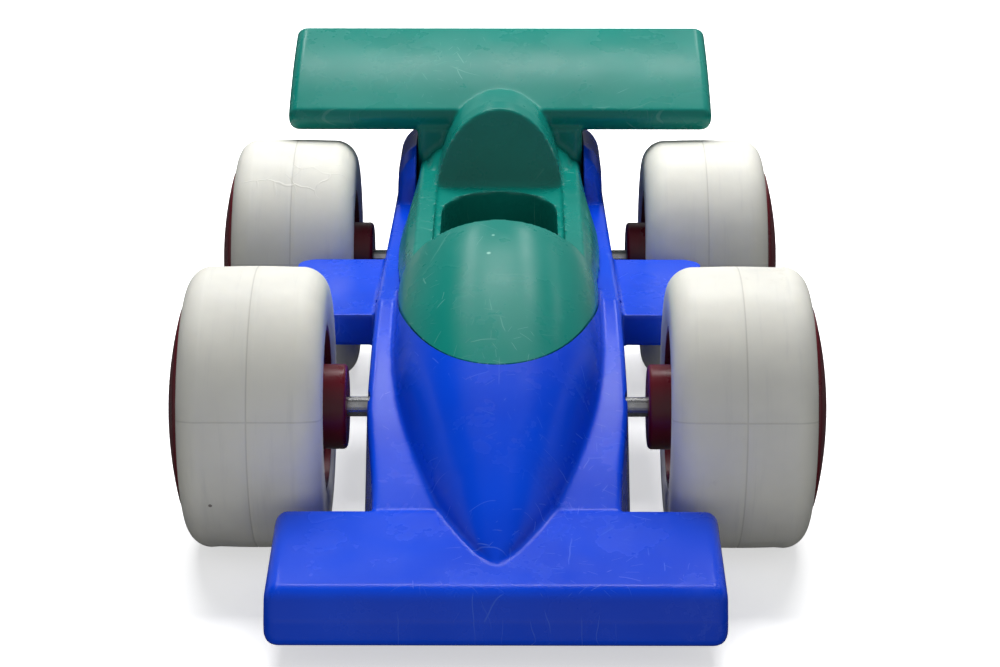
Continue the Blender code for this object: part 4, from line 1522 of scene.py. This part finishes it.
@dataclass
class Studio:
    """The floor, the soft lights and the camera.

    Attributes:
        camera_place: where the camera stands.
        camera_pitch: how far it looks down, in degrees.
        camera_turn: how far it turns to the side, in degrees.
        lens: its focal length in millimetres.
    """

    camera_place: Point = (0.00345, -0.65856, 0.25624)
    camera_pitch: float = 18.336
    camera_turn: float = 0.266
    lens: float = 93.6

    def build(self) -> None:
        """Sets up the whole studio."""
        self.floor()
        self.world()
        self.light("band_left", (-0.37, 1.15, 1.20), (0.12, 0.95), 2.4)
        self.light("band_right", (0.37, 1.15, 1.20), (0.12, 0.95), 2.4)
        self.light("band_side", (0.86, 1.15, 1.15), (0.12, 0.90), 0.8)
        self.light("band_cross", (0.0, 0.80, 1.20), (0.40, 0.30), 2.1)
        self.light("ceiling", (0.0, 0.72, 1.25), (1.10, 0.80), 31.0, glossy=False)
        tipped = (math.radians(125), 0, 0)
        self.light("table_glow", (0.0, -0.30, 0.01), (0.70, 0.24), 0.36, turn=tipped, glossy=False)
        self.camera()
        bpy.context.scene.view_settings.view_transform = "Standard"

    def light(
        self, name: str, place: Point, size: Flat, power: float, turn: Point = (0, 0, 0), glossy: bool = True
    ) -> None:
        """Adds one soft rectangular light, facing down unless it is turned.

        Args:
            name: the light's name.
            place: where its middle is.
            size: its width and length.
            power: its power in watts.
            turn: its rotation.
            glossy: whether gloss shows its reflection.
        """
        data = bpy.data.lights.new(name, "AREA")
        data.shape = "RECTANGLE"
        data.size, data.size_y = size
        data.energy = power
        light = bpy.data.objects.new(name, data)
        light.location = place
        light.rotation_euler = turn
        light.visible_glossy = glossy
        bpy.context.scene.collection.objects.link(light)

    def world(self) -> None:
        """A surround that is pale in front of the car, dim behind it near the horizon, and dark elsewhere."""
        world = bpy.data.worlds.new("Studio_Surround")
        bpy.context.scene.world = world
        world.use_nodes = True
        tree = world.node_tree
        direction = tree.nodes.new("ShaderNodeTexCoord").outputs["Generated"]
        facing = tree.nodes.new("ShaderNodeVectorMath")
        facing.operation = "DOT_PRODUCT"
        facing.inputs[1].default_value = (0.0, -0.95, 0.30)
        tree.links.new(direction, facing.inputs[0])
        split = tree.nodes.new("ShaderNodeSeparateXYZ")
        tree.links.new(direction, split.inputs[0])
        front = self.slope(tree, facing.outputs["Value"], (-0.10, 0.95), (0.0, 0.40))
        above = self.slope(tree, split.outputs[2], (-0.12, 0.12), (0.30, 1.0))
        horizon = self.slope(tree, split.outputs[2], (0.42, 0.72), (0.28, 0.01))
        lower = self.slope(tree, split.outputs[2], (0.02, 0.22), (0.20, 1.0))
        before = self.join(tree, "MULTIPLY", front, above)
        glow = self.join(tree, "MULTIPLY", horizon, lower)
        most = self.join(tree, "MAXIMUM", before, glow)
        background = tree.nodes["Background"]
        background.inputs["Color"].default_value = (0.96, 0.98, 1.0, 1.0)
        tree.links.new(most, background.inputs["Strength"])

    def join(
        self, tree: bpy.types.NodeTree, operation: str, a: bpy.types.NodeSocket, b: bpy.types.NodeSocket
    ) -> bpy.types.NodeSocket:
        """One Math node over two values.

        Args:
            tree: the node tree that the node goes into.
            operation: the operation.
            a: the first value.
            b: the second value.

        Returns:
            The result.
        """
        node = tree.nodes.new("ShaderNodeMath")
        node.operation = operation
        tree.links.new(a, node.inputs[0])
        tree.links.new(b, node.inputs[1])
        return node.outputs[0]

    def slope(
        self, tree: bpy.types.NodeTree, value: bpy.types.NodeSocket, span: Flat, levels: Flat
    ) -> bpy.types.NodeSocket:
        """A value that runs smoothly between two levels over a span.

        Args:
            tree: the node tree that the node goes into.
            value: the value.
            span: the values where the run starts and ends.
            levels: the results there.

        Returns:
            The result.
        """
        ramp = tree.nodes.new("ShaderNodeMapRange")
        ramp.interpolation_type = "SMOOTHSTEP"
        ramp.inputs["From Min"].default_value, ramp.inputs["From Max"].default_value = span
        ramp.inputs["To Min"].default_value, ramp.inputs["To Max"].default_value = levels
        tree.links.new(value, ramp.inputs["Value"])
        return ramp.outputs[0]

    def floor(self) -> None:
        """A plain pale floor."""
        bm = bmesh.new()
        bmesh.ops.create_grid(bm, x_segments=1, y_segments=1, size=6.0)
        floor = finish_mesh(bm, "studio_floor")
        net = Net("Pale_Floor")
        tone = net.blend(net.noise(2.0, 2.0), (0.90, 0.90, 0.90), (0.93, 0.93, 0.93))
        net.feed(net.shader.inputs["Base Color"], tone)
        net.shader.inputs["Roughness"].default_value = 0.9
        net.shader.inputs["Specular IOR Level"].default_value = 0.1
        net.shader.inputs["Emission Color"].default_value = (1.0, 1.0, 1.0, 1.0)
        net.shader.inputs["Emission Strength"].default_value = 0.55
        floor.data.materials.append(net.material)
        floor.visible_diffuse = False
        floor.visible_glossy = False

    def camera(self) -> None:
        """A level camera in front of the car that looks slightly down."""
        data = bpy.data.cameras.new("Studio_Camera")
        data.lens = self.lens
        data.sensor_width = 36.0
        data.clip_start = 0.01
        data.clip_end = 20.0
        camera = bpy.data.objects.new("Studio_Camera", data)
        camera.location = self.camera_place
        pitch, turn = math.radians(90 - self.camera_pitch), math.radians(self.camera_turn)
        camera.rotation_euler = (pitch, 0, turn)
        bpy.context.scene.collection.objects.link(camera)
        bpy.context.scene.camera = camera


# ---------------------------------------------------------------- assembly


def install(piece: bpy.types.Object, body: str, slot: str, *nodes: str) -> None:
    """Sets a piece on its body in place of the CAD nodes it stands for, and logs it.

    Args:
        piece: the new piece.
        body: the body that it rides on.
        slot: the name of a material slot; not used.
        nodes: the CAD nodes that it stands for.
    """
    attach(piece, body)
    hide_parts(*nodes)
    log.info("%s: %d faces for %s", piece.name, len(piece.data.polygons), ", ".join(nodes))


def dress(node: bpy.types.Object, material: bpy.types.Material) -> None:
    """Gives a CAD node a procedural finish.

    Args:
        node: the CAD node.
        material: its finish.
    """
    for slot in node.material_slots:
        slot.material = material
    log.info("%s: finished in %s", node.name, material.name)


def main() -> None:
    """Builds every piece of the car around the frame, then the studio."""
    logging.basicConfig(level=logging.INFO, format="%(name)s: %(message)s")
    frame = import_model()
    lines = CarLines()

    blue = BodyPlastic(
        "Blue_Moulding",
        colour=(0.001, 0.062, 0.70),
        deep=(0.001, 0.048, 0.60),
        pale_wear_and_glint=(0.16, 0.32, 0.88),
        roughness=0.22,
        scratch=0.30,
        edge_wear_and_glint=0.20,
    )
    # Places of the two pips whose pale colour is a painted highlight.
    large_pip_glint = ((-2.4 * MM, lines.at(29.5 * MM), 66.2 * MM), 0.75 * MM)
    small_pip_glint = ((-1.3 * MM, lines.at(38.0 * MM), 68.4 * MM), 0.6 * MM)
    green = BodyPlastic(
        "Green_Moulding",
        colour=(0.003, 0.215, 0.172),
        deep=(0.002, 0.185, 0.148),
        pale_wear_and_glint=(0.42, 0.76, 0.66),
        roughness=0.25,
        scratch=0.42,
        edge_wear_and_glint=0.70,
        pip_glints=(large_pip_glint, small_pip_glint),
    )
    install(LowerBody(lines, blue).build(), "car_body", "blue_body", "lower_body")
    install(UpperBody(lines, green).build(), "car_body", "green_body", "upper_body")

    red = WheelPlastic("Red_Wheel_Plastic", (0.110, 0.002, 0.010), (0.17, 0.012, 0.022)).build()
    ivory = (0.82, 0.81, 0.735)
    grey = (0.50, 0.50, 0.50)
    middle = (TYRE_INNER + TYRE_OUTER) / 2
    smooth_tyre = TyrePlastic("Ivory_Tyre", ivory, grey, middle).build()
    creased_tyre = TyrePlastic("Creased_Ivory_Tyre", ivory, grey, middle, creases=0.40).build()
    for row in Row:
        for side in Side:
            centre = Vector((0, lines.at(row.value), WHEEL_RADIUS))
            creased = row is Row.REAR and side is Side.LEFT
            Wheel(row, side, centre).build(creased_tyre if creased else smooth_tyre, red)

    steel = Steel("Bright_Steel_Rod", (0.60, 0.60, 0.61), (0.30, 0.29, 0.27), 0.24).build()
    zinc = Steel("Zinc_Screw", (0.52, 0.53, 0.56), (0.33, 0.33, 0.33), 0.36).build()
    for name, node in frame["nodes"].items():
        if name.endswith("_axle"):
            dress(node, steel)
        elif name.endswith("_screw"):
            dress(node, zinc)

    Studio().build()


if __name__ == "__main__":
    main()
